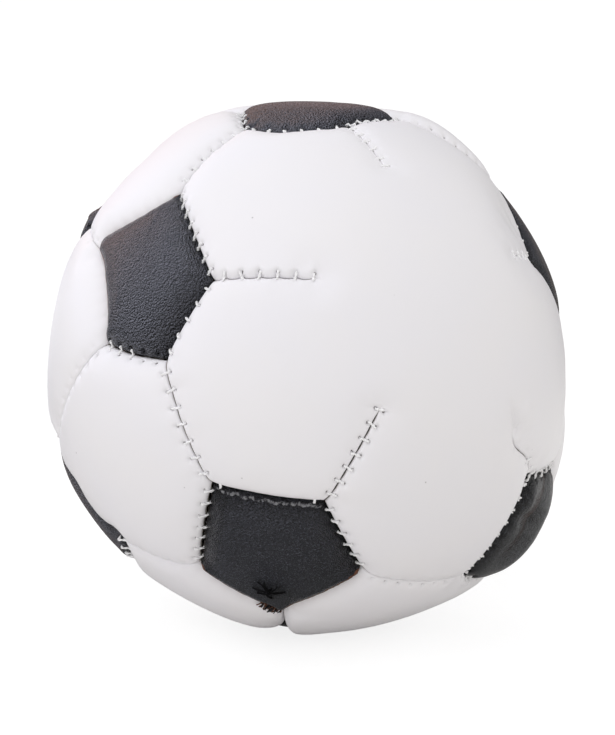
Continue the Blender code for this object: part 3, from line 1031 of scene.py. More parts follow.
@dataclass
class Cell:
    """One pentagon or hexagon of a panel, drawn as rings from its border to its middle."""

    skin: Skin
    panel: str
    corners: list[CornerKey]
    sides: list[Side]
    tips: tuple[int, ...] = ()
    points: list[Array] = field(default_factory=list)
    faces: Faces = field(default_factory=list)
    slots: list[Layer] = field(default_factory=list)
    marks: list[Array] = field(default_factory=list)

    def moved_corner(self, i: int) -> Array:
        """A corner, moved in by half a gap from each cut side."""
        directions = self.skin.pattern.corners
        before, here, after = (directions[self.corners[k % len(self.corners)]] for k in (i - 1, i, i + 1))
        gaps = [SEWING.gap / 2 * (self.sides[k].seam is not None) * (i not in self.tips) for k in (i - 1, i)]
        sides = np.array((normalised(np.cross(before, here)), normalised(np.cross(here, after)), here))
        moves = np.array((*gaps, 0)) / self.skin.ball_radius
        return normalised(here + np.linalg.solve(sides, moves))

    def border(self) -> tuple[Array, Array]:
        """The border's points and, for each, the number of its side.

        Columns stand at each stitch and evenly between, so that a stitch meets a row of points.
        """
        count = len(self.corners)
        moved = [self.moved_corner(i) for i in range(count)]
        points, numbers = [], []
        for i, side in enumerate(self.sides):
            here, after = moved[i], moved[(i + 1) % count]
            if side.seam is None:
                shares = np.arange(STEPS.plain_side) / STEPS.plain_side
                run = normalised(here + (after - here) * shares[:, None])
            else:
                run = self.seam_run(side, here, after)
            points.append(run)
            numbers.append(np.full(len(run), i))
        return np.concatenate(points), np.concatenate(numbers)

    def seam_run(self, side: Side, here: Array, after: Array) -> Array:
        """Border points along one sewn side, the next corner left out."""
        seam = side.seam
        first, last = (float(seam.measure(end[None, :])[0][0]) for end in (here, after))
        stitches = seam.stitches if side.on_left else seam.stitches[::-1]
        stops = [first, *stitches, last]
        steps = [STEPS.per_stitch // 2, *[STEPS.per_stitch] * (len(stitches) - 1), STEPS.per_stitch // 2]
        along = np.concatenate(
            [a + (b - a) * np.arange(n) / n for a, b, n in zip(stops, stops[1:], steps)]
        )
        ragged = side.edge.tatter * tattered(along) * seam.ends(along)
        aside = (seam.half_gap(along) + ragged) * (1 if side.on_left else -1)
        run = seam.directions(along, aside)
        run[0] = here
        return run

    def depth_of(self, side: Side, i: int, middle: Array) -> float:
        """Distance from a side's line to the cell's middle."""
        if side.seam is not None:
            return abs(float(side.seam.measure(middle[None, :])[1][0]))
        corners = self.skin.pattern.corners
        here, after = corners[self.corners[i]], corners[self.corners[(i + 1) % len(self.corners)]]
        return abs(math.asin(normalised(np.cross(here, after)) @ middle)) * self.skin.ball_radius

    def add_ring(self, directions: Array, radius: Array, sink: float, marks: Array | None = None) -> range:
        """Add a ring of points with their wear and piercing, and return their numbers."""
        start = sum(len(p) for p in self.points)
        self.points.append(self.skin.place(directions, radius, sink))
        self.marks.append(np.zeros((len(directions), 2)) if marks is None else marks)
        return range(start, start + len(directions))

    def add_face(self, face: tuple[int, ...], slot: Layer, outward: bool = True) -> None:
        """Add a face, turned over where it belongs to the inside."""
        self.faces.append(face if outward else face[::-1])
        self.slots.append(slot)

    def bridge(self, outer: range, inner: range, rim: Array | None = None, inside: bool = False) -> None:
        """Join two rings, of which the inner may have half as many points."""
        count, few = len(outer), len(inner)
        slot, outward = (Layer.BACK, False) if inside else (Layer.FACE, True)
        for i in range(few):
            a, b = inner[i], inner[(i + 1) % few]
            if few == count:
                face = (outer[i], outer[(i + 1) % count], b, a)
                rimmed = rim is not None and rim[i]
                self.add_face(face, Layer.EDGE if rimmed else slot, outward)
                continue
            p, q, r = (outer[(2 * i + k) % count] for k in range(3))
            for face in ((p, q, a), (q, b, a), (q, r, b)):
                self.add_face(face, slot, outward)

    def build(self) -> None:
        """Draw the outside, the wall along each cut edge, and the inside."""
        border, numbers = self.border()
        middle = normalised(np.mean(border, axis=0))
        depths = np.array([self.depth_of(s, i, middle) for i, s in enumerate(self.sides)])[numbers]
        rings = [(1, np.full(len(border), d), 1 - d / depths) for d in STEPS.near]
        last = STEPS.near[-1]
        for step, shares in ((2, STEPS.half_shares), (4, STEPS.quarter_shares)):
            for share in shares:
                kept = (1 - last / depths) * share
                rings.append((step, depths * (1 - kept), kept))
        made = []
        for step, distance, share in rings:
            picked = slice(None, None, step)
            directions = normalised(middle + (border - middle)[picked] * share[picked, None])
            distance, sides = distance[picked], numbers[picked]
            radius = self.skin.radius(directions, self.panel)
            marks = np.zeros((len(radius), 2))
            for i, side in enumerate(self.sides):
                if side.seam is not None:
                    mine = sides == i
                    height, *found = side.detail(directions[mine], distance[mine])
                    radius += side.lift(directions)
                    radius[mine] += height
                    marks[mine] = np.transpose(found)
            made.append(self.add_ring(directions, radius, 0.0, marks))
        rims = np.array([side.edge.rim if side.seam else 0.0 for side in self.sides])[numbers]
        for (outer, inner), depth in itertools.zip_longest(itertools.pairwise(made), STEPS.near[:-1]):
            self.bridge(outer, inner, rims > depth if depth is not None else None)
        self.close(made[-1], middle, 0.0, Layer.FACE, True)
        self.add_inside(border, numbers, middle, made[0])

    def close(self, ring: range, middle: Array, sink: float, slot: Layer, outward: bool) -> None:
        """Close the last ring on a point in the middle."""
        radius = self.skin.radius(middle[None, :], self.panel) - sink
        hub = self.add_ring(middle[None, :], radius, sink)[0]
        for i, vertex in enumerate(ring):
            self.add_face((vertex, ring[(i + 1) % len(ring)], hub), slot, outward)

    def add_inside(self, border: Array, numbers: Array, middle: Array, rim: range) -> None:
        """Draw the inside, a panel's thickness down, and the cut edges' walls."""
        sink = COVER_THICKNESS
        rings = [border, border[::2], border[::4]]
        rings += [normalised(middle + (border[::4] - middle) * s) for s in STEPS.inner_shares]
        for i, share in enumerate(STEPS.inside_border_shares, 1):
            rings[i] = normalised(middle + (rings[i] - middle) * share)
        made = []
        for ring in rings:
            radius = self.skin.packed_radius(ring) - self.skin.dip(ring) - sink
            made.append(self.add_ring(ring, radius, sink))
        for outer, inner in itertools.pairwise(made):
            self.bridge(outer, inner, inside=True)
        self.close(made[-1], middle, sink, Layer.BACK, False)
        edged = [side.seam is not None for side in self.sides]
        for i, vertex in enumerate(rim):
            if edged[numbers[i]]:
                after = (i + 1) % len(rim)
                self.add_face((rim[after], vertex, made[0][i], made[0][after]), Layer.EDGE)


class PanelKind(Enum):
    """The three cuts of the cover."""

    PATCH = "black pentagon"
    BELT = "white hexagon"
    LOBED = "white panel with five lobes"


@dataclass(frozen=True)
class Fringe:
    """Torn knit that hangs out of a patch's cut edge.

    Attributes:
        seam: key of the edge.
        first: share of its length where the fringe starts.
        last: where it ends.
        count: of its fibres.
        length: of the shortest and the longest.
        lean: how far a fibre's tip may stray along the edge.
        rise: of the fibres where they leave the edge.
        curl: how far down or up a tip may bend.
        root: how far inside the edge a fibre starts.
        lean_shares: of its lean, at each of its four points.
        out_shares: of its length, out of the edge, at those.
        rise_shares: of its rise.
        bare_share: one fibre in this many has lost its vinyl.
    """

    seam: tuple[str, ...]
    first: float
    last: float
    count: int = 110
    length: Span = (0.2 * MM, 0.95 * MM)
    lean: float = 0.35 * MM
    rise: float = 0.3 * MM
    curl: Span = (-0.15 * MM, 0.2 * MM)
    root: float = 0.2 * MM
    lean_shares: tuple[float, ...] = (0, 0.2, 0.7, 1)
    out_shares: tuple[float, ...] = (0, 0, 0.6, 1)
    rise_shares: tuple[float, ...] = (1, 1, 0.7, 0.3)
    steps: int = 3
    bare_share: int = 3
    seed: int = 9

    def build(self, skin: Skin) -> tuple[Array, Faces]:
        """Points and faces of the fibres."""
        chance = random.Random(self.seed)
        seam, yarn = skin.seams[self.seam], Yarn(plies=1, ply_radius=0.06 * MM, ply_offset_share=0, sides=4)
        fibres = []
        for _ in range(self.count):
            along = seam.length * chance.uniform(self.first, self.last)
            long, lean = chance.uniform(*self.length), chance.uniform(-1, 1) * self.lean
            aside = -long * np.array(self.out_shares)
            aside[0] = self.root
            directions = seam.directions(along + lean * np.array(self.lean_shares), aside)
            heights = self.rise * np.array(self.rise_shares)
            heights[2:] += chance.uniform(*self.curl)
            path = skin.place(directions, skin.radius(directions) + heights)
            fibres.append(yarn.strands(smooth_path(path, self.steps)))
        return joined(fibres)

    def slots(self, faces: int) -> list[Layer]:
        """Materials of this many faces: most fibres still vinyl, the others knit."""
        fibres = (i * self.count // faces for i in range(faces))
        return [Layer.FACE if fibre % self.bare_share else Layer.EDGE for fibre in fibres]


FRINGES: dict[str, Fringe] = {
    "low_front_black_patch": Fringe(("low_front", "low_left", "bottom"), 0.76, 1.02),
}


@dataclass
class Panel:
    """One piece of the cover."""

    node: str
    kind: PanelKind
    cells: list[Cell]
    weld: float = 0.002 * MM
    fill: float = 0.8

    def build(self, materials: Materials) -> bpy.types.Object:
        """Join the cells into one closed shell and dress it.

        Args:
            materials: of the face, the cut edge and the back.

        Returns:
            The piece.
        """
        parts, marks, slots = [], [], []
        for cell in self.cells:
            cell.build()
            parts.append((np.concatenate(cell.points), cell.faces))
            marks += cell.marks
            slots += cell.slots
        fringe = FRINGES.get(self.node)
        if fringe is not None:
            parts.append(fringe.build(self.cells[0].skin))
            fibres, fibre_faces = parts[-1]
            marks.append(np.zeros((len(fibres), 2)))
            slots += fringe.slots(len(fibre_faces))
        points, faces = joined(parts)
        kept, faces = self.welded(points, faces)
        piece = new_piece(f"{self.node}_shell", points[kept], faces, materials)
        mesh = piece.data
        mesh.polygons.foreach_set("material_index", slots)
        for name, values in zip(("worn", "pierced"), np.concatenate(marks)[kept].T):
            layer = mesh.attributes.new(name, "FLOAT", "POINT")
            layer.data.foreach_set("value", values.astype(np.float32))
        mesh.update()
        return piece

    def welded(self, points: Array, faces: Faces) -> tuple[Array, Faces]:
        """Merge the points that two cells share, by rounding them to a fine grid.

        Returns:
            Numbers of the points that are kept, and the faces between those.
        """
        grid = np.round(points / self.weld).astype(np.int64)
        _, kept, numbers = np.unique(grid, axis=0, return_index=True, return_inverse=True)
        numbers = numbers.ravel()
        return kept, [tuple(int(numbers[v]) for v in face) for face in faces]


@dataclass
class Cover:
    """All 22 panels of the footbag.

    Attributes:
        turned_under: panels whose edges are folded in, so that no knit shows at them.
    """

    skin: Skin
    panels: list[Panel] = field(default_factory=list)
    turned_under: tuple[str, ...] = ("rear_left_black_patch",)

    def patch_cell(self, place: str) -> Cell:
        """The cell of a black patch."""
        ring = self.skin.pattern.rings[place]
        sides = [Side(self.skin.seams[place, a, b]) for a, b in zip(ring, ring[1:] + ring[:1])]
        return Cell(self.skin, f"{place}_black_patch", [(place, other) for other in ring], sides)

    def hexagon_cell(self, triple: tuple[str, str, str], panel: str) -> Cell:
        """The cell of a white hexagon, which may be a lobe."""
        seams, whites = self.skin.seams, self.skin.pattern.white_middles
        corners, sides, tips = [], [], []
        for i, place in enumerate(triple):
            before, after = triple[i - 1], triple[(i + 1) % 3]
            if place in whites:
                tips += [len(corners), len(corners) + 1]
                sides.append(Side(None))
            else:
                sides.append(Side(seams[place, after, before], on_left=False))
            straight = (place, after) in seams
            sides.append(Side(seams[(place, after) if straight else (after, place)], straight))
            corners += [(place, before), (place, after)]
        return Cell(self.skin, panel, corners, sides, tuple(tips))

    def plan(self) -> None:
        """List the panels, under the names of the nodes that they stand for."""
        pattern = self.skin.pattern
        for middle in pattern.white_middles:
            node = f"{middle}_lobed_panel"
            ring = [(middle, other) for other in pattern.rings[middle]]
            cells = [Cell(self.skin, node, ring, [Side(None)] * len(ring))]
            cells += [self.hexagon_cell(t, node) for t in pattern.triples if middle in t]
            self.panels.append(Panel(node, PanelKind.LOBED, cells))
        belt = [t for t in pattern.triples if pattern.white_middle_of(t) is None]
        for number, triple in enumerate(belt, 1):
            node = f"belt_panel_{number:02d}"
            self.panels.append(Panel(node, PanelKind.BELT, [self.hexagon_cell(triple, node)]))
        for place in pattern.patches:
            cell = self.patch_cell(place)
            self.panels.append(Panel(cell.panel, PanelKind.PATCH, [cell]))

    def build(self, white: Materials, black: Materials) -> None:
        """Build every panel, hang it on the root body and hide the imported part that it stands for."""
        self.plan()
        for panel in self.panels:
            is_patch = panel.kind is PanelKind.PATCH
            materials = black if is_patch else white
            if panel.node in self.turned_under:
                materials = [materials[0], *materials[:2]]
            piece = panel.build(materials)
            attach(piece, "root")
            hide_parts(panel.node)
            log.info("%s: %s, %d faces", piece.name, panel.kind.value, len(piece.data.polygons))


# Thread


@dataclass(frozen=True)
class Yarn:
    """Thread of plies twisted together.

    Attributes:
        ply_offset_share: of a ply's radius, from the thread's middle to the ply's.
        twist_length: of thread, in which a ply goes round once.
        sides: of a ply as it is drawn.
    """

    plies: int = 2
    ply_radius: float = 0.083 * MM
    ply_offset_share: float = 0.65
    twist_length: float = 0.9 * MM
    sides: int = 6

    def strands(self, path: Array) -> tuple[Array, Faces]:
        """Wind the plies round a path.

        Args:
            path: points along the thread's middle.

        Returns:
            Points and faces of all plies, each closed at both ends.
        """
        ahead = normalised(np.gradient(path, axis=0))
        side = [normalised(np.cross(ahead[0], UP + 0.01))]  # leaning, so never along the thread
        for direction in ahead[1:]:
            side.append(normalised(side[-1] - direction * (side[-1] @ direction)))
        side = np.array(side)
        over = np.cross(ahead, side)
        run = np.concatenate(([0], np.cumsum(np.linalg.norm(np.diff(path, axis=0), axis=1))))
        plies = []
        for ply in range(self.plies):
            turn = math.tau * (run / self.twist_length + ply / self.plies)
            offset = self.ply_radius * self.ply_offset_share
            centre = path + (side * np.cos(turn)[:, None] + over * np.sin(turn)[:, None]) * offset
            plies.append(self.tube(centre, side, over))
        return joined(plies)

    def tube(self, centre: Array, side: Array, over: Array) -> tuple[Array, Faces]:
        """One ply, as a closed tube."""
        angles = np.arange(self.sides) / self.sides * math.tau
        circle = side[:, None] * np.cos(angles)[:, None] + over[:, None] * np.sin(angles)[:, None]
        faces = []
        for i in range(len(centre) - 1):
            for k in range(self.sides):
                a, b = (i * self.sides + j for j in (k, (k + 1) % self.sides))
                faces.append((a, b, b + self.sides, a + self.sides))
        last = (len(centre) - 1) * self.sides
        faces.append(tuple(range(self.sides))[::-1])
        faces.append(tuple(range(last, last + self.sides)))
        return (centre[:, None] + circle * self.ply_radius).reshape(-1, 3), faces


@dataclass
class Stitching:
    """The white thread, one length for each patch with its dart and one for each other seam.

    Attributes:
        bar_sag: of a stitch between its ends.
        short_of_hole: from a needle's hole to where the stitch goes down beside it.
        lip_share: of a stitch's reach, where it bends down into its hole.
        crown_reach: from the cut edge to where the stitch rests on it.
        mouth_depth: of the point where it leaves the outside.
        under: of the thread inside.
        hidden_sink: of a stitch that doesn't show.
    """

    skin: Skin
    yarn: Yarn = Yarn()
    seed: int = 11
    bar_sag: float = 0.05 * MM
    short_of_hole: float = 0.06 * MM
    lip_share: float = 0.8
    crown_reach: float = 0.15 * MM
    mouth_depth: float = 0.2 * MM
    bar_steps: int = 4
    under: float = 1.25 * MM
    hidden_sink: float = 0.75 * MM

    def bar(self, seam: Seam, along: float, chance: random.Random) -> tuple[Array, Array]:
        """The path of one stitch, over the seam from its left hole to its right one.

        Returns:
            The way down inside at each end, as two points, and the bar's own points.
        """
        strays = [chance.uniform(-1, 1) * SEWING.stray for _ in range(4)]
        half_gap = float(seam.half_gap(np.array([along]))[0])
        edges = seam.look.left, seam.look.right
        alongs = np.array((along + strays[0], along + strays[1]))
        reaches = np.array([edge.hole - self.short_of_hole + half_gap for edge in edges])
        asides = (reaches + np.array(strays[2:]) / 2) * (1, -1)
        holes = seam.directions(alongs, asides)
        lips = seam.directions(alongs, asides * self.lip_share)
        sink = 0 if seam.shows(along) else self.hidden_sink
        fade = float(seam.ends(np.array([along]))[0])
        reaches = np.abs(asides) * self.lip_share
        seats = np.array([edge.seat(float(reach), fade) for edge, reach in zip(edges, reaches)])
        crown = max(edge.seat(self.crown_reach, fade) for edge in edges) - sink + seam.look.bar_rise
        hole_radius = self.skin.radius(holes) + seats - sink
        lip_radius = self.skin.radius(lips) + seats - sink + seam.look.bar_rise
        inside = self.skin.place(holes, hole_radius - self.under)
        mouths = self.skin.place(holes, hole_radius - self.mouth_depth)
        ends = self.skin.place(lips, lip_radius)
        over = seam.directions(alongs.mean(keepdims=True), np.zeros(1))
        middle = self.skin.place(over, self.skin.radius(over) + crown - self.bar_sag)
        bar = np.array((mouths[0], ends[0], middle[0], ends[1], mouths[1]))
        return inside, bar

    def path(self, seams: list[Seam], chance: random.Random) -> Array:
        """The whole thread: bars outside, slanting runs inside."""
        points = []
        for seam in seams:
            for along in seam.stitches:
                inside, bar = self.bar(seam, along, chance)
                points += [inside[:1], smooth_path(bar, self.bar_steps), inside[1:]]
        return np.concatenate(points)

    def build(self, material: bpy.types.Material) -> None:
        """Build every length of thread, hang it on the root body and hide the imported part that it stands
        for.
        """
        pattern, seams = self.skin.pattern, self.skin.seams
        chance = random.Random(self.seed)
        lengths = []
        for place in pattern.patches:
            ring = pattern.rings[place]
            first = next(i for i, other in enumerate(ring) if other in pattern.white_middles)
            ring = ring[first:] + ring[:first]
            route = [seams[place, ring[0]]]
            route += [seams[place, a, b] for a, b in zip(ring, ring[1:] + ring[:1])]
            lengths.append((f"{place}_patch_thread", route))
        joins = [pair for pair in pattern.adjoining if pattern.white_middle_of(pair) is None]
        for number, pair in enumerate(joins, 1):
            lengths.append((f"panel_seam_thread_{number:02d}", [seams[pair]]))
        for node, route in lengths:
            points, faces = self.yarn.strands(self.path(route, chance))
            piece = new_piece(f"{node}_plied", points, faces, [material])
            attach(piece, "root")
            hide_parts(node)
            log.info("%s: %d stitches", piece.name, sum(len(s.stitches) for s in route))


@dataclass
class ClosingKnot:
    """The knot of black thread where the bag was closed, with its loose ends.

    Attributes:
        azimuth: of its place on the ball, in degrees.
        elevation: of it.
        rise: of its middle above the patch.
        turns: points of the strand that makes the knot, as shares of the size.
        loose_ends: points of each loose end.
    """

    skin: Skin
    yarn: Yarn = Yarn(ply_radius=0.07 * MM)
    size: float = 1.5 * MM
    azimuth: float = -10.8
    elevation: float = -38.5
    steps: int = 5
    rise: float = 0.1 * MM
    # Across, up the patch, out of it
    turns: tuple[tuple[float, float, float], ...] = (
        (-0.25, -0.15, -0.2),
        (-0.1, 0.15, 0.04),
        (0.12, 0.14, 0.12),
        (0.16, -0.06, 0.08),
        (0.0, -0.18, 0.06),
        (-0.16, -0.04, 0.16),
        (-0.04, 0.14, 0.2),
        (0.14, 0.04, 0.16),
        (0.06, -0.16, 0.1),
        (-0.12, -0.14, 0.02),
        (-0.2, 0.06, 0.0),
        (0.0, 0.2, 0.05),
        (0.2, 0.22, -0.05),
    )
    loose_ends: tuple[tuple[tuple[float, float, float], ...], ...] = (
        ((0.0, 0.05, 0.15), (-0.12, 0.4, 0.2), (-0.3, 0.75, 0.12), (-0.62, 0.95, 0.02)),
        ((0.05, 0.1, 0.15), (0.0, 0.5, 0.25), (-0.12, 0.85, 0.2), (-0.16, 1.1, 0.08)),
        ((0.05, 0.05, 0.15), (0.25, 0.3, 0.2), (0.42, 0.42, 0.15), (0.62, 0.62, 0.03)),
        ((-0.05, 0.0, 0.12), (-0.4, 0.12, 0.1), (-0.75, 0.14, 0.03), (-1.05, 0.2, -0.02)),
        ((0.05, -0.05, 0.1), (0.35, -0.14, 0.06), (0.7, -0.12, 0.02), (1.0, -0.05, -0.02)),
        ((0.0, -0.05, 0.1), (-0.2, -0.3, 0.08), (-0.1, -0.6, 0.05), (0.05, -0.9, -0.02)),
        ((0.0, 0.0, 0.1), (-0.3, -0.2, 0.1), (-0.5, -0.3, 0.03), (-0.8, -0.3, 0.0)),
    )

    def route(self, shares: Iterable[tuple[float, float, float]]) -> Array:
        """Points of a strand on the patch, from shares of the knot's size."""
        place = aimed(self.azimuth, self.elevation)
        up = normalised(UP - place * (place @ UP))
        across = np.cross(up, place)
        points = []
        for share_across, share_up, share_out in shares:
            aside = (across * share_across + up * share_up) * self.size / self.skin.ball_radius
            direction = normalised(place + aside)[None, :]
            radius = self.skin.radius(direction) + self.rise + share_out * self.size
            points.append(self.skin.place(direction, radius)[0])
        return smooth_path(np.array(points), self.steps)

    def build(self, material: bpy.types.Material) -> None:
        """Tie the knot, hang it on the root body and hide the imported knot."""
        strands = [self.yarn.strands(self.route(shares)) for shares in (self.turns, *self.loose_ends)]
        piece = new_piece("closing_knot_tied", *joined(strands), [material])
        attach(piece, "root")
        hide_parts("closing_knot")
        log.info("%s: %d loose ends", piece.name, len(self.loose_ends))


@dataclass
class Filling:
    """Plastic pellets, packed into one body with each pellet's dome on its outside.

    Attributes:
        pellet_dome: how far a pellet stands out beside the gap next to it.
        clearance: from the cover's inside.
        stray_share: of the ball's radius, how far a pellet lies from an even spacing.
    """

    skin: Skin
    pellet_size: float = 2.6 * MM
    pellet_dome: float = 0.45 * MM
    clearance: float = 0.3 * MM
    stray_share: float = 0.02
    subdivisions: int = 6
    seed: int = 3

    def build(self, material: bpy.types.Material) -> None:
        """Pack the pellets, hang them on the root body and hide the imported filling."""
        bpy.ops.mesh.primitive_ico_sphere_add(subdivisions=self.subdivisions, radius=1)
        piece = bpy.context.object
        piece.name = "pellet_filling_packed"
        mesh = piece.data
        directions = normalised(points_of(mesh))
        depth = self.skin.seam_depth * 3 ** (1 / self.skin.seam_blend)  # where three seams meet
        under = depth + COVER_THICKNESS + self.clearance
        radius = self.skin.packed_radius(directions) - under
        radius -= self.pellet_dome * self.gaps_between(directions)
        points = self.skin.place(directions, radius, COVER_THICKNESS + self.clearance)
        mesh.vertices.foreach_set("co", points.ravel())
        mesh.polygons.foreach_set("use_smooth", [True] * len(mesh.polygons))
        mesh.update()
        mesh.materials.append(material)
        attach(piece, "root")
        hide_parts("pellet_filling")
        log.info("%s: %d faces", piece.name, len(mesh.polygons))

    def gaps_between(self, directions: Array) -> Array:
        """0 on top of a pellet, 1 in the gap beside it."""
        count = round(4 * math.pi * self.skin.ball_radius**2 / self.pellet_size**2)
        turn = math.pi * (3 - math.sqrt(5))
        chance = random.Random(self.seed)
        middles = []
        for i in range(count):
            height = 1 - 2 * (i + 0.5) / count
            level = math.sqrt(1 - height**2)
            middles.append((math.cos(turn * i) * level, math.sin(turn * i) * level, height))
        strays = [[chance.uniform(-1, 1) * self.stray_share for _ in range(3)] for _ in range(count)]
        middles = normalised(np.array(middles) + np.array(strays))
        parts = np.array_split(directions, 40)  # so that no table gets too large
        closest = np.concatenate([np.max(part @ middles.T, axis=1) for part in parts])
        away = np.arccos(np.clip(closest, -1, 1)) * self.skin.ball_radius
        return np.clip(away / (self.pellet_size / 2), 0, 1) ** 2


# Finishes


def add_noise(tree: Tree, place: Socket, size: float, detail: float, roughness: float = 0.5) -> Socket:
    """Add noise from 0 to 1, with features of this size."""
    inputs = {"Vector": place, "Scale": 1 / size, "Detail": detail, "Roughness": roughness}
    return add_node(tree, "ShaderNodeTexNoise", inputs).outputs["Fac"]


def add_range(tree: Tree, value: Socket, source: Span, result: Span = (0.0, 1.0)) -> Socket:
    """Take a value from one range to another, and keep it there."""
    names = ("Value", "From Min", "From Max", "To Min", "To Max")
    inputs = dict(zip(names, (value, *source, *result)))
    return add_node(tree, "ShaderNodeMapRange", inputs).outputs["Result"]


def add_mix(tree: Tree, share: Socket, one: Colour | Socket, other: Colour | Socket) -> Socket:
    """Mix two colours by the other one's share."""
    inputs = {"Factor": share, "A": one, "B": other}
    return add_node(tree, "ShaderNodeMix", inputs, data_type="RGBA").outputs["Result"]


def add_math(tree: Tree, operation: str, one: Socket, other: Socket) -> Socket:
    """Join two values by one of Blender's operations."""
    return add_node(tree, "ShaderNodeMath", {0: one, 1: other}, operation=operation).outputs["Value"]


def add_reach(tree: Tree, vector: Socket, direction: tuple[float, float, float]) -> Socket:
    """How far a vector reaches in a direction."""
    inputs = {0: vector, 1: direction}
    return add_node(tree, "ShaderNodeVectorMath", inputs, operation="DOT_PRODUCT").outputs["Value"]


def add_bump(tree: Tree, height: Socket, strength: float, distance: float) -> Socket:
    """Turn a height into a normal."""
    inputs = {"Height": height, "Strength": strength, "Distance": distance}
    return add_node(tree, "ShaderNodeBump", inputs).outputs["Normal"]


def add_mark(tree: Tree, name: str) -> Socket:
    """A value that the mesh holds at each of its points."""
    return add_node(tree, "ShaderNodeAttribute", attribute_name=name).outputs["Fac"]


def shaded(colour: str, share: float) -> Colour:
    """A colour made darker."""
    return (*(value * share for value in linear(colour)[:3]), 1)


class Finish:
    """A new material, and the place on the piece that its patterns go by."""

    def __init__(self, name: str) -> None:
        """Start it, under this name."""
        self.material = bpy.data.materials.new(name)
        self.material.use_nodes = True
        self.tree = self.material.node_tree
        self.place = add_node(self.tree, "ShaderNodeTexCoord").outputs["Object"]

    def finish(self, **inputs: Any) -> bpy.types.Material:
        """Fill the shader's inputs, named with _ for a blank, and return the material."""
        shader = self.tree.nodes["Principled BSDF"]
        for name, value in inputs.items():
            socket = shader.inputs[name.replace("_", " ")]
            if isinstance(value, Socket):
                self.tree.links.new(value, socket)
            else:
                socket.default_value = value
        return self.material


@dataclass(frozen=True)
class SmoothVinyl:
    """White leathercloth: PVC skin calendered smooth on a knitted back.

    To the eye it is near white with a soft, even gloss and no grain, and picks up small grey
    scuffs in use. Its needle holes get a painted shade, a dark brownish colour mixed in where the
    mesh is pierced.
    """

    colour: str = "#f4f2f2"
    other_colour: str = "#f1f0f4"
    tone_size: float = 9 * MM
    scuff_colour: str = "#b9b6b8"
    # Painted shade: the dark colour mixed in at needle holes, for the shadow inside them
    hole_shade_colour: str = "#5c544e"
    roughness: float = 0.4
    ior: float = 1.5
    specular: float = 0.12
    ripple_size: float = 2.2 * MM
    ripple_height: float = 0.06 * MM
    ripple_strength: float = 0.35
    speck_spacing: float = 3.6 * MM
    speck_radius: float = 0.11 * MM
    speck_core_share: float = 0.6
    speck_strength: float = 0.7
    hole_shade_range: Span = (0.35, 0.8)

    def build(self) -> bpy.types.Material:
        """The material."""
        new = Finish("smooth white vinyl")
        tree, radius = new.tree, self.speck_radius / self.speck_spacing
        inputs = {"Vector": new.place, "Scale": 1 / self.speck_spacing}
        specks = add_node(tree, "ShaderNodeTexVoronoi", inputs).outputs["Distance"]
        edge = (radius * self.speck_core_share, radius)
        near = add_range(tree, specks, edge, (self.speck_strength, 0.0))
        tone = add_noise(tree, new.place, self.tone_size, 2)
        plain = add_mix(tree, tone, linear(self.colour), linear(self.other_colour))
        scuffed = add_mix(tree, near, plain, linear(self.scuff_colour))
        # Painted shade in the needle holes, mixed in by how deeply the mesh marks each point as pierced
        depth = add_range(tree, add_mark(tree, "pierced"), self.hole_shade_range)
        ripple = add_noise(tree, new.place, self.ripple_size, 3)
        return new.finish(
            Base_Color=add_mix(tree, depth, scuffed, linear(self.hole_shade_colour)),
            Normal=add_bump(tree, ripple, self.ripple_strength, self.ripple_height),
            Roughness=self.roughness,
            IOR=self.ior,
            Specular_IOR_Level=self.specular,
        )


@dataclass(frozen=True)
class GrainedVinyl:
    """Black leathercloth: PVC skin embossed with a fine pebble grain under a matt lacquer.

    Its pebbles break its gloss up. Pale specks painted into its colour add painted highlights, like light
    off pebble tops, and a brownish painted sheen is mixed in where it is seen at a low angle.
    Where a stitch has torn the skin, the pale knit behind it comes through.
    """

    colour: str = "#0d0d0e"
    # Painted highlight: the pale colour of specks that stand for light glinting off the pebbles
    painted_glint_colour: str = "#4f5259"
    # Painted sheen: brown mixed into the base colour where the surface is seen at a low angle
    painted_sheen_colour: str = "#513b30"
    worn_colour: str = "#a3a3a6"
    roughness: float = 0.22
    specular: float = 0.65
    grain: float = 0.17 * MM
    grain_height: float = 0.36 * MM
    grain_smoothness: float = 0.4
    crumb: float = 0.13 * MM
    # Where each sets in and is full: the painted sheen by how low the angle is, the others by their noise
    painted_sheen_range: Span = (0.69, 0.98)
    painted_glint_range: Span = (0.5, 0.74)
    torn_range: Span = (0.3, 0.46)

    def build(self) -> bpy.types.Material:
        """The material."""
        new = Finish("grained black vinyl")
        tree = new.tree
        inputs = {"Vector": new.place, "Scale": 1 / self.grain, "Smoothness": self.grain_smoothness}
        pebbles = add_node(tree, "ShaderNodeTexVoronoi", inputs, feature="SMOOTH_F1")
        fine = add_noise(tree, new.place, self.grain, 3, 0.75)
        height = add_math(tree, "SUBTRACT", fine, pebbles.outputs["Distance"])
        # Painted sheen: plain is the base colour turning brown as the surface turns away from the camera
        low_angle = add_node(tree, "ShaderNodeLayerWeight", {"Blend": 0.5}).outputs["Facing"]
        painted_sheen = add_range(tree, low_angle, self.painted_sheen_range)
        plain = add_mix(tree, painted_sheen, linear(self.colour), linear(self.painted_sheen_colour))
        # Painted highlight: where the fine noise is high, the base colour turns pale, as if a pebble caught
        # the light
        painted_glints = add_range(tree, fine, self.painted_glint_range)
        grained = add_mix(tree, painted_glints, plain, linear(self.painted_glint_colour))
        crumbs = add_noise(tree, new.place, self.crumb, 4, 0.8)
        worn = add_math(tree, "MULTIPLY", add_mark(tree, "worn"), crumbs)
        torn = add_range(tree, worn, self.torn_range)
        return new.finish(
            Base_Color=add_mix(tree, torn, grained, linear(self.worn_colour)),
            Normal=add_bump(tree, height, 1.0, self.grain_height),
            Roughness=self.roughness,
            Specular_IOR_Level=self.specular,
        )


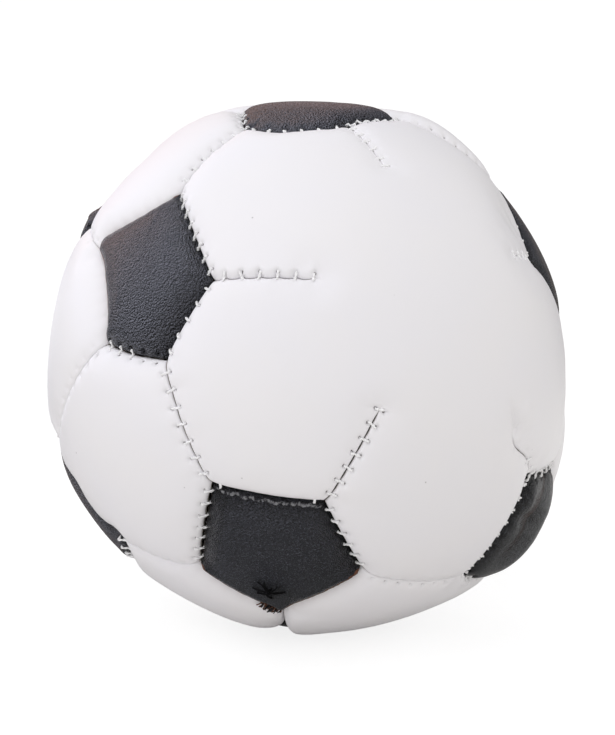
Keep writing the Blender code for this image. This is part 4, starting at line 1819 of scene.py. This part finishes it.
@dataclass(frozen=True)
class KnittedBack:
    """The cotton knit behind the vinyl, which also shows as a fibrous line at a cut edge."""

    name: str
    colour: str
    roughness: float = 0.9
    stitch: float = 0.5 * MM
    stitch_height: float = 0.08 * MM
    stitch_strength: float = 0.8
    dark_share: float = 0.55

    def build(self) -> bpy.types.Material:
        """The material."""
        new = Finish(self.name)
        fibres = add_noise(new.tree, new.place, self.stitch, 4)
        return new.finish(
            Base_Color=add_mix(new.tree, fibres, linear(self.colour), shaded(self.colour, self.dark_share)),
            Normal=add_bump(new.tree, fibres, self.stitch_strength, self.stitch_height),
            Roughness=self.roughness,
        )


@dataclass(frozen=True)
class SpunThread:
    """Spun polyester sewing thread: matt, faintly hairy."""

    name: str
    colour: str
    fuzz: float = 0.0
    roughness: float = 0.75
    specular: float = 0.15
    fibre: float = 0.09 * MM
    fibre_height: float = 0.03 * MM
    fibre_strength: float = 0.6
    dark_share: float = 0.93

    def build(self) -> bpy.types.Material:
        """The material."""
        new = Finish(self.name)
        fibres = add_noise(new.tree, new.place, self.fibre, 2)
        return new.finish(
            Base_Color=add_mix(new.tree, fibres, linear(self.colour), shaded(self.colour, self.dark_share)),
            Normal=add_bump(new.tree, fibres, self.fibre_strength, self.fibre_height),
            Roughness=self.roughness,
            Specular_IOR_Level=self.specular,
            Sheen_Weight=self.fuzz,
        )


@dataclass(frozen=True)
class MouldedPellet:
    """Recycled polyethylene pellets: waxy, off-white, each a little different."""

    colour: str = "#d6d1c2"
    other_colour: str = "#b9b6a6"
    roughness: float = 0.45
    ior: float = 1.51
    size: float = 2.6 * MM

    def build(self) -> bpy.types.Material:
        """The material."""
        new = Finish("plastic pellets")
        inputs = {"Vector": new.place, "Scale": 1 / self.size}
        cells = add_node(new.tree, "ShaderNodeTexVoronoi", inputs).outputs["Color"]
        colour = add_mix(new.tree, cells, linear(self.colour), linear(self.other_colour))
        return new.finish(Base_Color=colour, Roughness=self.roughness, IOR=self.ior)


# The studio


@dataclass(frozen=True)
class Lamp:
    """A square soft box.

    Attributes:
        azimuth: round the ball, in degrees.
        elevation: above it, in degrees.
        level: of its own light on a surface that faces it, where 1 shows a white card as white.
    """

    name: str
    azimuth: float
    elevation: float
    level: float
    colour: str = "#ffffff"
    distance: float = 0.45
    size: float = 0.4

    def build(self, target: Array) -> None:
        """Hang the lamp, facing the ball."""
        direction = aimed(self.azimuth, self.elevation)
        light = bpy.data.lights.new(self.name, "AREA")
        light.size = self.size
        light.energy = self.level * math.pi**2 * self.distance**2
        light.color = linear(self.colour)[:3]
        lamp = placed(self.name, light)
        lamp.location = target + direction * self.distance
        lamp.rotation_euler = look_rotation(-direction)


def look_rotation(direction: Array) -> tuple[float, float, float]:
    """Turn of a lamp or camera that looks this way, with its top up."""
    azimuth = math.atan2(direction[0], direction[1])
    return math.pi / 2 + math.asin(direction[2]), 0.0, -azimuth


@dataclass(frozen=True)
class Studio:
    """A white sweep, soft light from the upper left, and the photograph's viewpoint."""

    ball_radius: float
    frame_width: float = 615
    frame_height: float = 735
    ball_centre_px: Span = (310.45, 367.4)
    ball_radius_px: float = 265.85
    camera_elevation: float = 14.4
    camera_distance_share: float = 10  # ball radii, from its middle
    floor_size: float = 6.0
    card_colour: str = "#efedea"
    floor_shade: float = 0.3
    floor_glow_share: float = 0.6  # of what the shade takes, so that an open floor shows as white
    ambient: float = 0.72
    # As gloss shows it, of white: the window at the upper left, the room away from it, the sweep
    window_shade: float = 4.7
    window_colour: str = "#e6eaff"
    back_colour: str = "#c48c68"
    room_shade: Span = (0.05, 0.8)  # round the footbag, and straight behind it
    sweep_shade: Span = (0.17, 1.1)
    back: tuple[float, float, float] = (-0.2, 0.97, 0.12)
    back_range: Span = (0.83, 1.0)
    window: tuple[float, float, float] = (-0.8, 0.1, 0.6)
    window_range: Span = (0.25, 0.95)
    # Metres to the right of the footbag and behind it, where the sweep gets light and dark again
    sweep: tuple[float, float, float] = (0.7, 0.7, 0)
    sweep_light: Span = (0.0, 0.045)
    sweep_dark: Span = (0.08, 0.15)
    sweep_far_share: float = 0.15
    lamps: tuple[Lamp, ...] = (
        Lamp("left soft box", -58, 0, 0.12, "#f4f3ff", size=0.25),
        Lamp("overhead soft box", -38, 62, 0.27, "#fbf9ff"),
        Lamp("right soft box", 80, 5, 0.09, "#fff4ea"),
    )

    def build(self, target: Array) -> None:
        """Set up everything round the footbag."""
        bpy.context.scene.view_settings.view_transform = "Standard"
        self.add_camera(target)
        self.add_world()
        self.add_floor()
        for lamp in self.lamps:
            lamp.build(target)
        log.info("studio: %d lamps", len(self.lamps))

    def add_camera(self, target: Array) -> None:
        """The photograph's camera, found from the ball's outline in it."""
        share = self.camera_distance_share
        focal_px = self.ball_radius_px * math.sqrt(share**2 - 1)
        data = bpy.data.cameras.new("camera")
        data.sensor_width = 36.0
        data.lens = focal_px / self.frame_height * data.sensor_width
        data.shift_x = (self.frame_width / 2 - self.ball_centre_px[0]) / self.frame_height
        data.shift_y = (self.ball_centre_px[1] - self.frame_height / 2) / self.frame_height
        data.clip_start = 0.01
        camera = placed("camera", data)
        direction = aimed(0, self.camera_elevation)
        camera.location = target + direction * self.ball_radius * share
        camera.rotation_euler = look_rotation(-direction)
        bpy.context.scene.camera = camera

    def add_world(self) -> None:
        """Even light all round, seen as white; gloss shows a window on one side of a dim room."""
        world = bpy.data.worlds.new("white room")
        world.use_nodes = True
        tree = world.node_tree
        background = tree.nodes["Background"]
        toward = add_node(tree, "ShaderNodeTexCoord").outputs["Generated"]
        path = add_node(tree, "ShaderNodeLightPath").outputs
        reach = add_reach(tree, toward, self.window)
        window = add_range(tree, reach, self.window_range, (0, self.window_shade))
        behind = add_range(tree, add_reach(tree, toward, self.back), self.back_range, self.room_shade)
        room = add_math(tree, "ADD", window, behind)
        mirrored = add_mix(tree, behind, linear(self.window_colour), linear(self.back_colour))
        tint = add_mix(tree, path["Is Glossy Ray"], linear("#ffffff"), mirrored)
        inputs = {"Factor": path["Is Glossy Ray"], "A": self.ambient, "B": room}
        lit = add_node(tree, "ShaderNodeMix", inputs).outputs["Result"]
        inputs = {"Factor": self.add_straight(tree, path), "A": lit, "B": 1.0}
        level = add_node(tree, "ShaderNodeMix", inputs).outputs["Result"]
        tree.links.new(tint, background.inputs["Color"])
        tree.links.new(level, background.inputs["Strength"])
        bpy.context.scene.world = world

    def add_straight(self, tree: Tree, path: Any) -> Socket:
        """1 for what the camera sees, straight or through something clear."""
        return add_math(tree, "MAXIMUM", path["Is Camera Ray"], path["Is Transmission Ray"])

    def add_floor(self) -> None:
        """A pale sweep that keeps the footbag's shadow."""
        half = self.floor_size / 2
        corners = [(-half, -half, 0), (half, -half, 0), (half, half, 0), (-half, half, 0)]
        mesh = bpy.data.meshes.new("floor")
        mesh.from_pydata(corners, [], [(0, 1, 2, 3)])
        floor = placed("floor", mesh)
        material = bpy.data.materials.new("white paper sweep")
        material.use_nodes = True
        tree = material.node_tree
        tree.nodes.remove(tree.nodes["Principled BSDF"])
        path = add_node(tree, "ShaderNodeLightPath").outputs
        card = add_node(tree, "ShaderNodeBsdfDiffuse", {"Color": linear(self.card_colour)})
        place = add_node(tree, "ShaderNodeNewGeometry").outputs["Position"]
        away = add_reach(tree, place, self.sweep)
        behind = add_range(tree, away, self.sweep_light, self.sweep_shade)
        far = add_range(tree, away, self.sweep_dark, (1.0, self.sweep_far_share))
        shade = add_math(tree, "MULTIPLY", behind, far)
        dim = add_node(tree, "ShaderNodeEmission", {"Strength": shade})
        inputs = {"Fac": path["Is Glossy Ray"], 1: card.outputs[0], 2: dim.outputs[0]}
        unseen = add_node(tree, "ShaderNodeMixShader", inputs).outputs[0]
        grey = add_node(tree, "ShaderNodeBsdfDiffuse", {"Color": (self.floor_shade,) * 3 + (1,)})
        strength = 1 - self.floor_shade * self.floor_glow_share
        glow = add_node(tree, "ShaderNodeEmission", {"Strength": strength})
        shown = add_node(tree, "ShaderNodeAddShader", {0: grey.outputs[0], 1: glow.outputs[0]}).outputs[0]
        inputs = {"Fac": self.add_straight(tree, path), 1: unseen, 2: shown}
        surface = add_node(tree, "ShaderNodeMixShader", inputs).outputs[0]
        tree.links.new(surface, tree.nodes["Material Output"].inputs["Surface"])
        mesh.materials.append(material)


def main() -> None:
    """Build the footbag and the studio round it."""
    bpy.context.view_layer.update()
    skin = Skin(Pattern())
    skin = replace(skin, swelling=Packing(skin).run())
    Studio(skin.ball_radius).build(skin.middle)
    white_back = KnittedBack("white knitted back", "#d9d4ca").build()
    black_back = KnittedBack("brown knitted back", "#6b442e").build()
    white = [SmoothVinyl().build(), white_back, white_back]
    black = [GrainedVinyl().build(), black_back, black_back]
    Cover(skin).build(white, black)
    Stitching(skin).build(SpunThread("white spun thread", "#ffffff", fuzz=0.6).build())
    ClosingKnot(skin).build(SpunThread("black spun thread", "#0b0a0a").build())
    Filling(skin).build(MouldedPellet().build())


if __name__ == "__main__":
    main()
